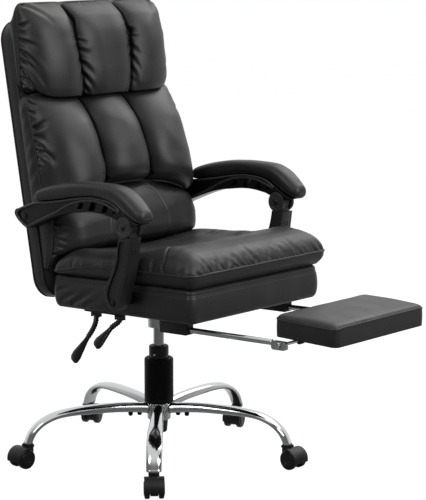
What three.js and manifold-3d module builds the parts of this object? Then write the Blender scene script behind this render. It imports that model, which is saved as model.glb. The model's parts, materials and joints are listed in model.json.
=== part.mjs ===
// Reclining office chair with a pull-out footrest, in millimetres, +Z up.
// The chair faces -Y and the sitter's left side is +X.
// The origin lies on the floor, in the middle of the space that the chair takes up.

import * as THREE from "three";
import { mergeVertices } from "three/addons/utils/BufferGeometryUtils.js";
import Module from "manifold-3d";

const wasm = await Module();
wasm.setup();

// Clearances shared by all pieces

const seatGap = 0.3; // between pieces that rest against each other
const runGap = 0.4; // around shafts and in guides
const overrun = 3; // how far a cutting tool reaches past a face

// Facets round each kind of round shape, and grid lines of the soft blocks

const cornerSegments = 6;
const facets = { rib: 8, pin: 12, armPad: 14, bolt: 16, rod: 20, turned: 24, ear: 28, hub: 48 };
const seatBaseGrid = [8, 8, 3];
const seatCushionGrid = [14, 14, 3];
const footPadGrid = [10, 8, 2];
const shellGrid = [8, 10, 2];
const backPadLines = 10;
const backPadLayers = 2;

// Driving sizes of the star base and its casters

const baseReach = 345; // column axis to caster stem
const legCount = 5;
const frontLegTurn = -47.5; // degrees from -Y
const legEndHeight = 60;
const legCrestHeight = 134;
const legRootSize = { width: 27, height: 28 };
const legCrestSize = { width: 34, height: 24 };
const legBendSize = { width: 40, height: 18 };
const legEndSize = { width: 37, height: 20 };
const hub = { radius: 30, bottom: 96, top: 142, chamfer: 2 };

const wheelRadius = 25;
const wheelSides = 20;
const wheelOuterFace = 25.3; // from the caster's middle plane
const wheelInnerFace = 11;
const wheelCap = { radius: 18, step: 2 };
const tyreRounding = 1.5;
const axleRadius = 3;
const casterTrail = 20;
const casterTurns = [-43, -2, -68, 115, 268]; // degrees, how each caster happens to stand
const hood = {
  thickness: 2.4,
  clearance: 1,
  halfWidth: 24.4,
  web: 9.6,
  webRadius: 19,
  blockFront: 10,
  block: 13,
};
const hoodTop = 57;
const collarRadius = 13;
const stem = { radius: 4, height: 9 };

// Driving sizes of the column

const gasTube = { radius: 23, bore: 20, bottom: 62, foot: 20, top: 286, floor: 6 };
const footTaper = 30; // height of the tube's tapered foot
const collar = { radius: 25.4, skirt: 24, cap: 3.7, bushLength: 46, rounding: 2 };
const notch = { width: 9, depth: 14 };
const columnCover = { radius: 37.4, wall: 2.5, top: 258, rounding: 4 };
const piston = { radius: 14, tipRadius: 12.5, bottom: 150, shoulder: 345, tip: 383 };
const screw = { radius: 3.2, thickness: 1.6, height: 268, turn: -72 };

// Driving sizes of the seat, in a frame that leans back with it

const seatHeight = 413.1; // floor to the seat's underside, at the column
const seatPitch = 2.78; // degrees, front edge up
const seatBase = { halfWidth: 234, front: 341, rear: 143, thickness: 84, rounding: 14, corner: 10 };

// How far the soft pieces reach past the seat base's sides
const overhang = { cushion: 16, shell: 7, lumbar: 6, backCushion: 14, headrest: 8 };

const cushion = {
  halfWidth: seatBase.halfWidth + overhang.cushion,
  front: 360,
  rear: 128,
  pipingRise: 34,
  crest: 172,
  hollow: 136,
  corner: 8,
  bolster: 22,
};
const mechanism = {
  halfWidth: 55,
  front: 115,
  rear: 38,
  depth: 44,
  rounding: 12,
  socket: 28,
  socketDepth: 74,
};
const mechanismPlate = { halfWidth: 100, front: 120, rear: 110, thickness: 4 };
const boreTop = 28; // how far below the seat's underside the piston's socket ends

// Driving sizes of the two levers under the sitter's right side

const leverInset = 29; // from the seat base's side to the levers' pivots
const leverLine = seatBase.halfWidth - leverInset;
const leverMount = { inner: 15, outer: 17, front: 92, rear: 40, thickness: 2.7, ear: 3, drop: 17 };
const leverBoss = { radius: 6, halfLength: 10, pin: 2.5 };
const leverSleeve = { radius: 7.4, waist: 5.8, ribPitch: 6.4 };
const paddle = { neck: 6.5, halfWidth: 17.5, thickness: 9 };
const heightLever = { pivot: [14.5, -10.4], knee: [-17, 14.8, -56.4], reach: [-21, 37, -62.4] };
const reclineLever = { pivot: [-69.7, -10.4], knee: [-10, 21.4, -27], reach: [-25, 34.3, -46.5] };

// Driving sizes of the footrest, in the seat's frame

const railInset = 54; // from the seat base's side to each rail
const railLine = seatBase.halfWidth - railInset;
const rail = { radius: 7, drop: 24, rear: 207, front: 541 };
const guide = { halfWidth: 12, front: 282, rear: 192, depth: 36, rounding: 5 };
const railBracket = { halfWidth: 6, length: 42, height: 20 };
const crossRod = { radius: 4, setback: 22, drop: 29.4, headRadius: 7, head: 3 };
const footPad = { halfWidth: 165, rear: 31, front: 151, board: 14, boardThickness: 6, top: 69, rounding: 9 };
const boardInset = 5;
const padHinge = { earLine: 100, ear: 14, eye: 9, plate: 3, front: 60, rear: 22 };

// Driving sizes of the back, in a frame that leans back with it

const backFoot = { y: 203, z: 423 }; // the rear plane's lowest point
const backPitch = 10.3; // degrees, top to the rear
const shell = {
  halfWidth: seatBase.halfWidth + overhang.shell,
  bottom: -8,
  top: 700,
  thickness: 45,
  rounding: 16,
  corner: 60,
  bulge: 5,
};
const lumbar = {
  halfWidth: seatBase.halfWidth + overhang.lumbar,
  bottom: 66,
  top: 257,
  edge: 104,
  crown: 160,
  corner: 20,
  lean: 0,
  droop: 0,
};
const backCushion = {
  halfWidth: seatBase.halfWidth + overhang.backCushion,
  bottom: 258,
  top: 505,
  edge: 88,
  crown: 180,
  corner: 24,
  lean: 0,
  droop: 0,
};
const headrest = {
  halfWidth: seatBase.halfWidth + overhang.headrest,
  bottom: 508,
  top: 733,
  edge: 83,
  crown: 141,
  corner: 56,
  lean: 32,
  droop: 48,
};
const waistSag = 54; // how far the seam between cushion and lumbar panel falls towards the sides
const channelCount = 3;
const recline = { y: 190, z: 398 }; // the hinge axis under the back
const hingePin = { radius: 6, halfLength: 150 };
const hingeEye = { radius: 12, width: 10, line: 128 };
const hingeStrap = { thickness: 5, rear: 40 };

// Driving sizes of the arms

const armGap = 18; // from the seat base's side to the arm
const armInner = seatBase.halfWidth + armGap;
const armThickness = 44;
const armOuter = armInner + armThickness;
const ear = { radius: 26, thickness: 9 };
const pivot = { y: -174, z: 650 }; // ear bolt, arm to upright
const footPivot = { y: -135, z: 464 }; // stud, upright to seat
const armLength = 384; // ear bolt to the frame's rear end
const armRise = 97; // ear bolt to the pad's crest
const armPad = { inset: 26, halfWidth: 29 }; // inset from the inner face to the pad's middle
const armPadLine = armInner + armPad.inset;
const armRecess = 3;
const uprightInset = 2; // between the arm's faces and the upright's
const upright = {
  inner: armInner + uprightInset,
  outer: armOuter - uprightInset,
  recess: 4,
  barrel: 20,
  neck: 15,
};
const uprightDrop = footPivot.z - pivot.z;
const armBolt = { shank: 4.5, head: 7, headThickness: 2.6 };
const stud = { radius: 5, boss: 10, head: 6.8, headThickness: 2.6, plate: 4, plateFront: 8, plateRear: 36 };
const studPlateHeight = 30;
const rearBolt = { y: 175, z: 640, shank: 4, play: 2.6, head: 9, headThickness: 2.4 };

// Materials

const leather = new THREE.MeshStandardMaterial({ color: 0x18181a, roughness: 0.42, metalness: 0 });
const plastic = new THREE.MeshStandardMaterial({ color: 0x1c1c1d, roughness: 0.6, metalness: 0 });
const glossPlastic = new THREE.MeshStandardMaterial({ color: 0x161617, roughness: 0.3, metalness: 0 });
const blackSteel = new THREE.MeshStandardMaterial({ color: 0x121213, roughness: 0.45, metalness: 0.4 });
const chrome = new THREE.MeshStandardMaterial({ color: 0xdcdee0, roughness: 0.08, metalness: 1 });
const zincSteel = new THREE.MeshStandardMaterial({ color: 0xb4b6b8, roughness: 0.35, metalness: 1 });
const plywood = new THREE.MeshStandardMaterial({ color: 0x9a7b52, roughness: 0.8, metalness: 0 });

// Geometry helpers

const radians = THREE.MathUtils.degToRad;
const lerp = THREE.MathUtils.lerp;
const clamp = THREE.MathUtils.clamp;

// A closed body: shared vertices merged, empty triangles dropped, faces pointing out.
function closedBody(geometry) {
  const bare = geometry.clone();
  bare.deleteAttribute("normal");
  bare.deleteAttribute("uv");
  const merged = mergeVertices(bare, seatGap / 1000);
  const source = merged.index.array;
  const place = merged.attributes.position;
  const faces = [];
  let volume = 0;
  const [a, b, c] = [new THREE.Vector3(), new THREE.Vector3(), new THREE.Vector3()];
  for (let i = 0; i < source.length; i += 3) {
    const [p, q, r] = [source[i], source[i + 1], source[i + 2]];
    if (p === q || q === r || r === p) continue;
    faces.push(p, q, r);
    a.fromBufferAttribute(place, p);
    b.fromBufferAttribute(place, q);
    c.fromBufferAttribute(place, r);
    volume += a.dot(b.cross(c));
  }
  if (volume < 0) faces.reverse();
  merged.setIndex(faces);
  return merged;
}

function toManifold(geometry) {
  const body = closedBody(geometry);
  const mesh = new wasm.Mesh({
    numProp: 3,
    vertProperties: new Float32Array(body.attributes.position.array),
    triVerts: new Uint32Array(body.index.array),
  });
  return new wasm.Manifold(mesh);
}

function fromManifold(manifold) {
  const mesh = manifold.getMesh();
  const geometry = new THREE.BufferGeometry();
  geometry.setAttribute("position", new THREE.BufferAttribute(new Float32Array(mesh.vertProperties), 3));
  geometry.setIndex([...mesh.triVerts]);
  return geometry;
}

function join(...geometries) {
  return fromManifold(geometries.map(toManifold).reduce((sum, next) => sum.add(next)));
}

function cut(geometry, ...tools) {
  const whole = toManifold(geometry);
  return fromManifold(tools.map(toManifold).reduce((rest, tool) => rest.subtract(tool), whole));
}

// A body turned round the Z axis from [radius, height] points.
function turned(profile, sides = facets.turned, start = 0) {
  const loop = profile[0][0] === 0 ? profile : [...profile, profile[0]];
  const points = loop.map(([radius, height]) => new THREE.Vector2(radius, height));
  return closedBody(new THREE.LatheGeometry(points, sides, start, 2 * Math.PI)).rotateX(Math.PI / 2);
}

// The same, turned round the X axis from [radius, place along X] points.
function turnedAcross(profile, sides = facets.turned, start = 0) {
  const loop = profile[0][0] === 0 ? profile : [...profile, profile[0]];
  const points = loop.map(([radius, across]) => new THREE.Vector2(radius, across));
  return closedBody(new THREE.LatheGeometry(points, sides, start, 2 * Math.PI)).rotateZ(-Math.PI / 2);
}

function rodAcross(radius, from, to, y, z, sides = facets.turned) {
  const [low, high] = [Math.min(from, to), Math.max(from, to)];
  return turnedAcross([[0, low], [radius, low], [radius, high], [0, high]], sides).translate(0, y, z);
}

function rodUp(radius, from, to, sides = facets.turned) {
  return turned([[0, from], [radius, from], [radius, to], [0, to]], sides);
}

function box(fromX, toX, fromY, toY, fromZ, toZ) {
  const block = new THREE.BoxGeometry(Math.abs(toX - fromX), Math.abs(toY - fromY), Math.abs(toZ - fromZ));
  return block.translate((fromX + toX) / 2, (fromY + toY) / 2, (fromZ + toZ) / 2);
}

// A side view of [y, z] points, extruded across from one X to another.
function slab(outline, from, to) {
  const toShape = (points) => new THREE.Shape(points.map(([y, z]) => new THREE.Vector2(y, z)));
  const shape = Array.isArray(outline) ? toShape(outline) : outline;
  const [low, high] = [Math.min(from, to), Math.max(from, to)];
  const options = { depth: high - low, bevelEnabled: false, curveSegments: cornerSegments };
  const across = new THREE.ExtrudeGeometry(shape, options);
  const basis = new THREE.Matrix4().makeBasis(
    new THREE.Vector3(0, 1, 0),
    new THREE.Vector3(0, 0, 1),
    new THREE.Vector3(1, 0, 0),
  );
  return across.applyMatrix4(basis).translate(low, 0, 0);
}

// A rectangle in side view with rounded corners, as a Shape of y and z.
function roundedRectangle(fromY, toY, fromZ, toZ, radius) {
  const shape = new THREE.Shape();
  shape.absarc(toY - radius, fromZ + radius, radius, -Math.PI / 2, 0);
  shape.absarc(toY - radius, toZ - radius, radius, 0, Math.PI / 2);
  shape.absarc(fromY + radius, toZ - radius, radius, Math.PI / 2, Math.PI);
  shape.absarc(fromY + radius, fromZ + radius, radius, Math.PI, 1.5 * Math.PI);
  return shape;
}

// A body through closed rings of points, capped at both ends.
function loft(rings) {
  const sides = rings[0].length;
  const points = rings.flat();
  const middle = (ring) => ring.reduce((sum, p) => sum.add(p), new THREE.Vector3()).divideScalar(ring.length);
  points.push(middle(rings[0]), middle(rings.at(-1)));
  const faces = [];
  const last = (rings.length - 1) * sides;
  for (let side = 0; side < sides; side += 1) {
    const next = (side + 1) % sides;
    for (let ring = 0; ring < rings.length - 1; ring += 1) {
      const [here, there] = [ring * sides, (ring + 1) * sides];
      faces.push(here + side, here + next, there + next, here + side, there + next, there + side);
    }
    faces.push(points.length - 2, next, side, points.length - 1, last + side, last + next);
  }
  const geometry = new THREE.BufferGeometry().setFromPoints(points);
  geometry.setIndex(faces);
  return closedBody(geometry);
}

// An ellipse of points round a place, in the plane of two unit directions.
function ellipse(centre, across, up, halfWidth, halfHeight, sides, power = 1) {
  return Array.from({ length: sides }, (_, i) => {
    const angle = (2 * Math.PI * i) / sides;
    const soften = (value) => Math.sign(value) * Math.abs(value) ** power;
    return centre
      .clone()
      .addScaledVector(across, halfWidth * soften(Math.cos(angle)))
      .addScaledVector(up, halfHeight * soften(Math.sin(angle)));
  });
}

// A value read between the rows of a table whose first column rises.
function readTable(rows, place, column = 1) {
  const next = rows.findIndex((row) => row[0] > place);
  if (next === 0) return rows[0][column];
  if (next === -1) return rows.at(-1)[column];
  const [before, after] = [rows[next - 1], rows[next]];
  return lerp(before[column], after[column], (place - before[0]) / (after[0] - before[0]));
}

// A block of evenly spaced grid lines whose points are placed by a function of -1 to 1 each way.
function softBlock(columns, rows, layers, place) {
  const block = closedBody(new THREE.BoxGeometry(2, 2, 2, columns, rows, layers));
  const points = block.attributes.position;
  for (let i = 0; i < points.count; i += 1) {
    const [x, y, z] = place(points.getX(i), points.getY(i), points.getZ(i));
    points.setXYZ(i, x, y, z);
  }
  return closedBody(block);
}

// Pulls the corners of a rectangle's grid round, keeping its edges.
function roundCorner(x, y, halfX, halfY, radius) {
  const [innerX, innerY] = [
    clamp(x, radius - halfX, halfX - radius),
    clamp(y, radius - halfY, halfY - radius),
  ];
  const [outX, outY] = [x - innerX, y - innerY];
  const length = Math.hypot(outX, outY);
  if (length === 0) return [x, y];
  const reach = Math.max(Math.abs(outX), Math.abs(outY)) / length;
  return [innerX + outX * reach, innerY + outY * reach];
}

// Grid lines drawn towards both ends, so that the rounded rims get more of them.
const towardsRim = (value) => Math.sin((value * Math.PI) / 2);

// Height of a crown over a rim, from 0 on the rim to 1 a roll's width inside it.
function crownShare(distance, roll) {
  const inside = clamp(distance / roll, 0, 1);
  return Math.sqrt(1 - (1 - inside) ** 2);
}

// Assembly helpers

const chair = new THREE.Group();

function addPiece(group, name, geometry, material) {
  const mesh = new THREE.Mesh(closedBody(geometry), material);
  mesh.geometry.computeVertexNormals();
  mesh.name = name;
  group.add(mesh);
}

const sides = [
  { name: "right", sign: -1 },
  { name: "left", sign: 1 },
];

// Star base

function hubRing() {
  const bore = gasTube.radius + seatGap;
  return turned([
    [bore, hub.bottom],
    [hub.radius - hub.chamfer, hub.bottom],
    [hub.radius, hub.bottom + hub.chamfer],
    [hub.radius, hub.top - hub.chamfer],
    [hub.radius - hub.chamfer, hub.top],
    [bore, hub.top],
  ]);
}

// The leg's middle line, as shares of its reach from the column and of its drop from the crest.
const legPathShares = [
  [0.04, 0.13],
  [0.28, 0.014],
  [0.48, 0],
  [0.68, 0.035],
  [0.8, 0.13],
  [0.9, 0.35],
  [0.965, 0.65],
  [1, 1],
];
const legSides = 12;
const legSteps = 13;
const legCrestShare = 0.45;
const legBendShare = 0.8;

function legSize(share, key) {
  const rows = [
    [0, legRootSize[key]],
    [legCrestShare, legCrestSize[key]],
    [legBendShare, legBendSize[key]],
    [1, legEndSize[key]],
  ];
  return readTable(rows, share) / 2;
}

// One oval leg, reaching along -Y. Its root is cut to fit round the hub, and its end is level.
function starLeg() {
  const points = legPathShares.map(
    ([out, drop]) => new THREE.Vector3(0, -out * baseReach, lerp(legCrestHeight, legEndHeight, drop)),
  );
  const path = new THREE.CatmullRomCurve3(points);
  const across = new THREE.Vector3(1, 0, 0);
  const rings = Array.from({ length: legSteps + 1 }, (_, step) => {
    const share = step / legSteps;
    const centre = path.getPointAt(share);
    const level = step === legSteps;
    const up = level ? new THREE.Vector3(0, 1, 0) : across.clone().cross(path.getTangentAt(share));
    return ellipse(centre, across, up, legSize(share, "width"), legSize(share, "height"), legSides);
  });
  const socket = rodUp(
    stem.radius + runGap,
    legEndHeight - overrun,
    legEndHeight + stem.height + runGap,
    facets.pin,
  );
  const round = rodUp(hub.radius + seatGap, hub.bottom, hub.top + hub.radius, facets.hub);
  return cut(loft(rings), socket.translate(0, -baseReach, 0), round);
}

const hoodSweep = [-12, 112]; // degrees of the hood's arc, from behind the wheels to over them
const hoodSteps = 9;

// A caster's housing, trailing along -Y from its stem: web, hood, collar, stem.
function casterHousing() {
  const centre = { y: -casterTrail, z: wheelRadius };
  const inner = wheelRadius / Math.cos(Math.PI / wheelSides) + hood.clearance;
  const outer = inner + hood.thickness;
  const [low, high] = hoodSweep.map(radians);
  const arc = (radius, from, to) =>
    Array.from({ length: hoodSteps + 1 }, (_, i) => {
      const angle = lerp(from, to, i / hoodSteps);
      return [centre.y - radius * Math.cos(angle), centre.z + radius * Math.sin(angle)];
    });
  const cover = slab([...arc(outer, low, high), ...arc(inner, high, low)], -hood.halfWidth, hood.halfWidth);
  const web = rodAcross(hood.webRadius, -hood.web, hood.web, centre.y, centre.z, facets.rod);
  const post = box(-hood.web, hood.web, centre.y / 2, hood.blockFront, centre.z, hoodTop);
  const block = box(
    -hood.block,
    hood.block,
    centre.y / 2,
    hood.blockFront,
    centre.z + outer - overrun,
    hoodTop,
  );
  const neck = rodUp(collarRadius, hoodTop - hood.thickness, legEndHeight - seatGap, facets.bolt);
  const pin = rodUp(stem.radius, hoodTop, legEndHeight + stem.height, facets.pin);
  const axleBore = rodAcross(
    axleRadius + runGap,
    -hood.web - overrun,
    hood.web + overrun,
    centre.y,
    centre.z,
    facets.pin,
  );
  return cut(join(cover, web, post, block, neck, pin), axleBore);
}

// Two wheels on one axle, round the axle's line. A flat of the tread faces down.
function wheelSet() {
  const tread = wheelRadius / Math.cos(Math.PI / wheelSides);
  const half = [
    [axleRadius, wheelInnerFace],
    [tread, wheelInnerFace],
    [tread, wheelOuterFace - wheelCap.step - tyreRounding],
    [tread - tyreRounding, wheelOuterFace - wheelCap.step],
    [wheelCap.radius, wheelOuterFace - wheelCap.step],
    [wheelCap.radius - wheelCap.step, wheelOuterFace],
    [0, wheelOuterFace],
  ];
  const mirrored = half.map(([radius, across]) => [radius, -across]).reverse();
  return turnedAcross([...mirrored, ...half], wheelSides, Math.PI / wheelSides);
}

function addBase() {
  addPiece(chair, "base_hub", hubRing(), chrome);
  for (let i = 0; i < legCount; i += 1) {
    const turn = radians(frontLegTurn + (360 / legCount) * i);
    const arm = new THREE.Group();
    arm.rotation.z = turn;
    chair.add(arm);
    addPiece(arm, `base_leg_${i + 1}`, starLeg(), chrome);
    const caster = new THREE.Group();
    caster.position.set(baseReach * Math.sin(turn), -baseReach * Math.cos(turn), 0);
    caster.rotation.z = radians(casterTurns[i]);
    chair.add(caster);
    addPiece(caster, `caster_${i + 1}_housing`, casterHousing(), plastic);
    const wheels = wheelSet().translate(0, -casterTrail, wheelRadius);
    addPiece(caster, `caster_${i + 1}_wheels`, wheels, glossPlastic);
  }
}

// Column

function addColumn() {
  const tube = turned([
    [0, gasTube.bottom],
    [gasTube.foot, gasTube.bottom],
    [gasTube.radius, gasTube.bottom + footTaper],
    [gasTube.radius, gasTube.top],
    [gasTube.bore, gasTube.top],
    [gasTube.bore, gasTube.bottom + gasTube.floor],
    [0, gasTube.bottom + gasTube.floor],
  ]);
  addPiece(chair, "gas_lift_tube", tube, blackSteel);

  const pistonBore = piston.radius + runGap;
  const capTop = gasTube.top + collar.cap;
  const ring = turned([
    [pistonBore, gasTube.top - collar.bushLength],
    [pistonBore, capTop],
    [collar.radius - collar.rounding, capTop],
    [collar.radius, capTop - collar.rounding],
    [collar.radius, capTop - collar.skirt],
    [gasTube.radius + seatGap, capTop - collar.skirt],
    [gasTube.radius + seatGap, gasTube.top + seatGap],
    [gasTube.bore - seatGap, gasTube.top + seatGap],
    [gasTube.bore - seatGap, gasTube.top - collar.bushLength],
  ]);
  const half = notch.width / 2;
  const slot = box(
    -half,
    half,
    -collar.radius - overrun,
    -gasTube.bore,
    capTop - collar.cap + seatGap,
    capTop + overrun,
  );
  const window = box(
    -half,
    half,
    -collar.radius - overrun,
    -gasTube.radius,
    capTop - notch.depth,
    capTop + overrun,
  );
  const facing = radians(frontLegTurn);
  addPiece(chair, "gas_lift_collar", cut(ring, slot.rotateZ(facing), window.rotateZ(facing)), plastic);

  const screwHead = turned([
    [0, collar.radius + seatGap],
    [screw.radius, collar.radius + seatGap],
    [screw.radius, collar.radius + seatGap + screw.thickness / 2],
    [0, collar.radius + seatGap + screw.thickness],
  ], facets.bolt);
  screwHead.rotateX(Math.PI / 2).rotateZ(radians(screw.turn)).translate(0, 0, screw.height);
  addPiece(chair, "gas_lift_screw", screwHead, zincSteel);

  const inside = columnCover.radius - columnCover.wall;
  const mouth = collar.radius + runGap;
  const foot = gasTube.radius + runGap;
  const cover = turned([
    [foot, hub.top + seatGap],
    [columnCover.radius, hub.top + seatGap],
    [columnCover.radius, columnCover.top - columnCover.rounding],
    [columnCover.radius - columnCover.rounding, columnCover.top],
    [mouth, columnCover.top],
    [mouth, columnCover.top - columnCover.wall],
    [inside, columnCover.top - columnCover.wall],
    [inside, hub.top + seatGap + columnCover.wall],
    [foot, hub.top + seatGap + columnCover.wall],
  ], facets.ear);
  addPiece(chair, "column_cover", cover, plastic);

  const rod = turned([
    [0, piston.bottom],
    [piston.radius, piston.bottom],
    [piston.radius, piston.shoulder],
    [piston.tipRadius, piston.tip],
    [0, piston.tip],
  ]);
  addPiece(chair, "gas_lift_piston", rod, chrome);
}

// Seat

const seat = new THREE.Group();
seat.position.z = seatHeight;
seat.rotation.x = -radians(seatPitch);
chair.add(seat);

function mechanismHousing() {
  const shape = roundedRectangle(
    -mechanism.front,
    mechanism.rear,
    -mechanism.depth,
    -mechanismPlate.thickness - 2 * seatGap,
    mechanism.rounding,
  );
  const upright = radians(seatPitch);
  const socket = rodUp(mechanism.socket, -mechanism.socketDepth, -boreTop).rotateX(upright);
  const bore = rodUp(piston.radius + runGap, -mechanism.socketDepth - overrun, -boreTop).rotateX(upright);
  return cut(join(slab(shape, -mechanism.halfWidth, mechanism.halfWidth), socket), bore);
}

// The boxed lower half of the seat: flat underneath, with soft upper edges.
function seatBaseBlock() {
  const halfDepth = (seatBase.front + seatBase.rear) / 2;
  const middle = (seatBase.rear - seatBase.front) / 2;
  return softBlock(...seatBaseGrid, (u, v, w) => {
    const level = towardsRim(w);
    const [x, y] = roundCorner(
      towardsRim(u) * seatBase.halfWidth,
      towardsRim(v) * halfDepth,
      seatBase.halfWidth,
      halfDepth,
      seatBase.corner,
    );
    const distance = Math.min(seatBase.halfWidth - Math.abs(x), halfDepth - Math.abs(y));
    const fall = seatBase.rounding * (1 - crownShare(distance, seatBase.rounding));
    const top = seatBase.thickness - fall;
    return [x, y + middle, (top * (level + 1)) / 2];
  });
}

// The seat cushion's upper line from front to rear: a full front roll, a sunken middle, a low rear.
// Each row is the place between front and rear, then the share of the way from hollow to crest.
const seatCrownShares = [
  [0, 0.15],
  [0.08, 0.85],
  [0.18, 1],
  [0.3, 0.62],
  [0.45, 0.14],
  [0.7, 0],
  [0.9, -0.05],
  [1, -0.2],
];
const seatRollShare = 0.22; // width of the rolled rim, of the half width
const seatRearDropShare = 0.75; // how far the piping falls towards the rear corners, of its rise
const seatDropStart = 0.62; // where that fall begins, from front to rear
// How much of the side bolsters' height stands along the cushion, from front to rear.
const seatBolsterShares = [
  [0.15, 0],
  [0.35, 1],
  [0.75, 1],
  [0.9, 0],
];
const seatTuckShare = 0.05; // how far the cushion's underside is drawn in, of its half width

function seatCushionPad() {
  const halfDepth = (cushion.front + cushion.rear) / 2;
  const middle = (cushion.rear - cushion.front) / 2;
  const bottom = seatBase.thickness + seatGap;
  const roll = seatRollShare * cushion.halfWidth;
  return softBlock(...seatCushionGrid, (u, v, w) => {
    const [x, y] = roundCorner(
      towardsRim(u) * cushion.halfWidth,
      towardsRim(v) * halfDepth,
      cushion.halfWidth,
      halfDepth,
      cushion.corner,
    );
    const along = (y / halfDepth + 1) / 2;
    const distance = Math.min(cushion.halfWidth - Math.abs(x), halfDepth - Math.abs(y));
    const rearward = clamp((along - seatDropStart) / (1 - seatDropStart), 0, 1) ** 2;
    const piping = bottom + cushion.pipingRise * (1 - seatRearDropShare * rearward);
    const bolster = cushion.bolster * (x / cushion.halfWidth) ** 2 * readTable(seatBolsterShares, along);
    const crown = lerp(cushion.hollow, cushion.crest, readTable(seatCrownShares, along)) + bolster;
    const top = lerp(piping, crown, crownShare(distance, roll));
    const share = (w + 1) / 2;
    const narrow = 1 - seatTuckShare * (1 - share);
    return [x * narrow, y * narrow + middle, lerp(bottom, top, share)];
  });
}

function addSeat() {
  addPiece(seat, "mechanism_housing", mechanismHousing(), zincSteel);
  const plateShape = box(
    -mechanismPlate.halfWidth,
    mechanismPlate.halfWidth,
    -mechanismPlate.front,
    mechanismPlate.rear,
    -mechanismPlate.thickness - seatGap,
    -seatGap,
  );
  addPiece(seat, "mechanism_plate", plateShape, zincSteel);
  addPiece(seat, "seat_base", seatBaseBlock(), leather);
  addPiece(seat, "seat_cushion", seatCushionPad(), leather);
}

// Levers

function leverMountPlate() {
  const sign = -1;
  const plate = box(
    sign * (leverLine + leverMount.outer),
    sign * (leverLine - leverMount.inner),
    -leverMount.front,
    leverMount.rear,
    -leverMount.thickness - seatGap,
    -seatGap,
  );
  const parts = [plate];
  for (const lever of [heightLever, reclineLever]) {
    const [y, z] = lever.pivot;
    const near = leverBoss.halfLength + runGap;
    const far = near + leverMount.ear;
    for (const end of [-1, 1]) {
      const reach = leverBoss.radius;
      const from = sign * (leverLine + reach);
      const to = sign * (leverLine - reach);
      parts.push(box(
        from,
        to,
        y + end * near,
        y + end * far,
        -leverMount.drop,
        -seatGap - leverMount.thickness / 2,
      ));
    }
    const pin = rodUp(leverBoss.pin, -far, far, facets.pin).rotateX(Math.PI / 2);
    parts.push(pin.translate(sign * leverLine, y, z));
  }
  return join(...parts);
}

const leverBendShare = 0.42; // length of the bend's two handles, of the way from pivot to knee

// A ribbed sleeve on its pivot boss: the ribs swell and narrow along a bend from the pivot to the knee.
function leverSleeveBody(lever) {
  const start = new THREE.Vector3(-leverLine, ...lever.pivot);
  const knee = start.clone().add(new THREE.Vector3(...lever.knee));
  const along = new THREE.Vector3(...lever.reach).normalize();
  const handle = leverBendShare * knee.distanceTo(start);
  const down = start.clone().add(new THREE.Vector3(0, 0, -handle));
  const bend = new THREE.CubicBezierCurve3(start, down, knee.clone().addScaledVector(along, -handle), knee);
  const ribs = Math.round(bend.getLength() / leverSleeve.ribPitch);
  const across = new THREE.Vector3(0, 1, 0);
  const rings = Array.from({ length: 2 * ribs + 1 }, (_, i) => {
    const share = i / (2 * ribs);
    const tangent = bend.getTangentAt(share);
    const side = across.clone().cross(tangent).normalize();
    const up = tangent.clone().cross(side);
    const radius = i % 2 === 0 ? leverSleeve.waist : leverSleeve.radius;
    return ellipse(bend.getPointAt(share), side, up, radius, radius, facets.rib);
  });
  const [y, z] = lever.pivot;
  const boss = rodUp(
    leverBoss.radius,
    -leverBoss.halfLength,
    leverBoss.halfLength,
    facets.bolt,
  ).rotateX(Math.PI / 2);
  const bore = rodUp(
    leverBoss.pin + runGap,
    -leverBoss.halfLength - overrun,
    leverBoss.halfLength + overrun,
    facets.pin,
  );
  bore.rotateX(Math.PI / 2);
  return cut(join(loft(rings), boss.translate(-leverLine, y, z)), bore.translate(-leverLine, y, z));
}

// The paddle's half width and half thickness along it, as shares.
const paddleShares = [
  [0, 0.34, 1],
  [0.15, 0.38, 1.1],
  [0.45, 0.68, 1],
  [0.75, 0.98, 0.85],
  [0.92, 0.9, 0.7],
  [1, 0.55, 0.4],
];

const paddleSquareness = 0.8; // power of its round section, where 1 is an ellipse

function leverPaddle(lever) {
  const knee = new THREE.Vector3(-leverLine, ...lever.pivot).add(new THREE.Vector3(...lever.knee));
  const reach = new THREE.Vector3(...lever.reach);
  const along = reach.clone().normalize();
  const wide = new THREE.Vector3(0, 1, 0).addScaledVector(along, -along.y).normalize();
  const thin = along.clone().cross(wide);
  const start = knee.addScaledVector(along, seatGap);
  const rings = paddleShares.map(([place, width, thickness]) =>
    ellipse(
      start.clone().addScaledVector(reach, place),
      wide,
      thin,
      width * paddle.halfWidth,
      (thickness * paddle.thickness) / 2,
      facets.bolt,
      paddleSquareness,
    ),
  );
  return loft(rings);
}

function addLevers() {
  addPiece(seat, "lever_mount", leverMountPlate(), blackSteel);
  addPiece(seat, "height_lever_sleeve", leverSleeveBody(heightLever), plastic);
  addPiece(seat, "height_lever_paddle", leverPaddle(heightLever), glossPlastic);
  addPiece(seat, "recline_lever_sleeve", leverSleeveBody(reclineLever), plastic);
  addPiece(seat, "recline_lever_paddle", leverPaddle(reclineLever), glossPlastic);
}

// Footrest

const rodPlace = { y: -(rail.front + crossRod.setback), z: -crossRod.drop };

// The pad lies level while the rails rise with the seat, so it has a frame of its own on the cross rod.
const padFrame = new THREE.Group();
padFrame.position.set(0, rodPlace.y, rodPlace.z);
padFrame.rotation.x = radians(seatPitch);
seat.add(padFrame);

function guideSleeve(centre) {
  const shape = roundedRectangle(-guide.front, -guide.rear, -guide.depth, -seatGap, guide.rounding);
  const body = slab(shape, centre - guide.halfWidth, centre + guide.halfWidth);
  const bore = rodUp(rail.radius + runGap, guide.rear - overrun, guide.front + overrun).rotateX(Math.PI / 2);
  return cut(body, bore.translate(centre, 0, -rail.drop));
}

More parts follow.
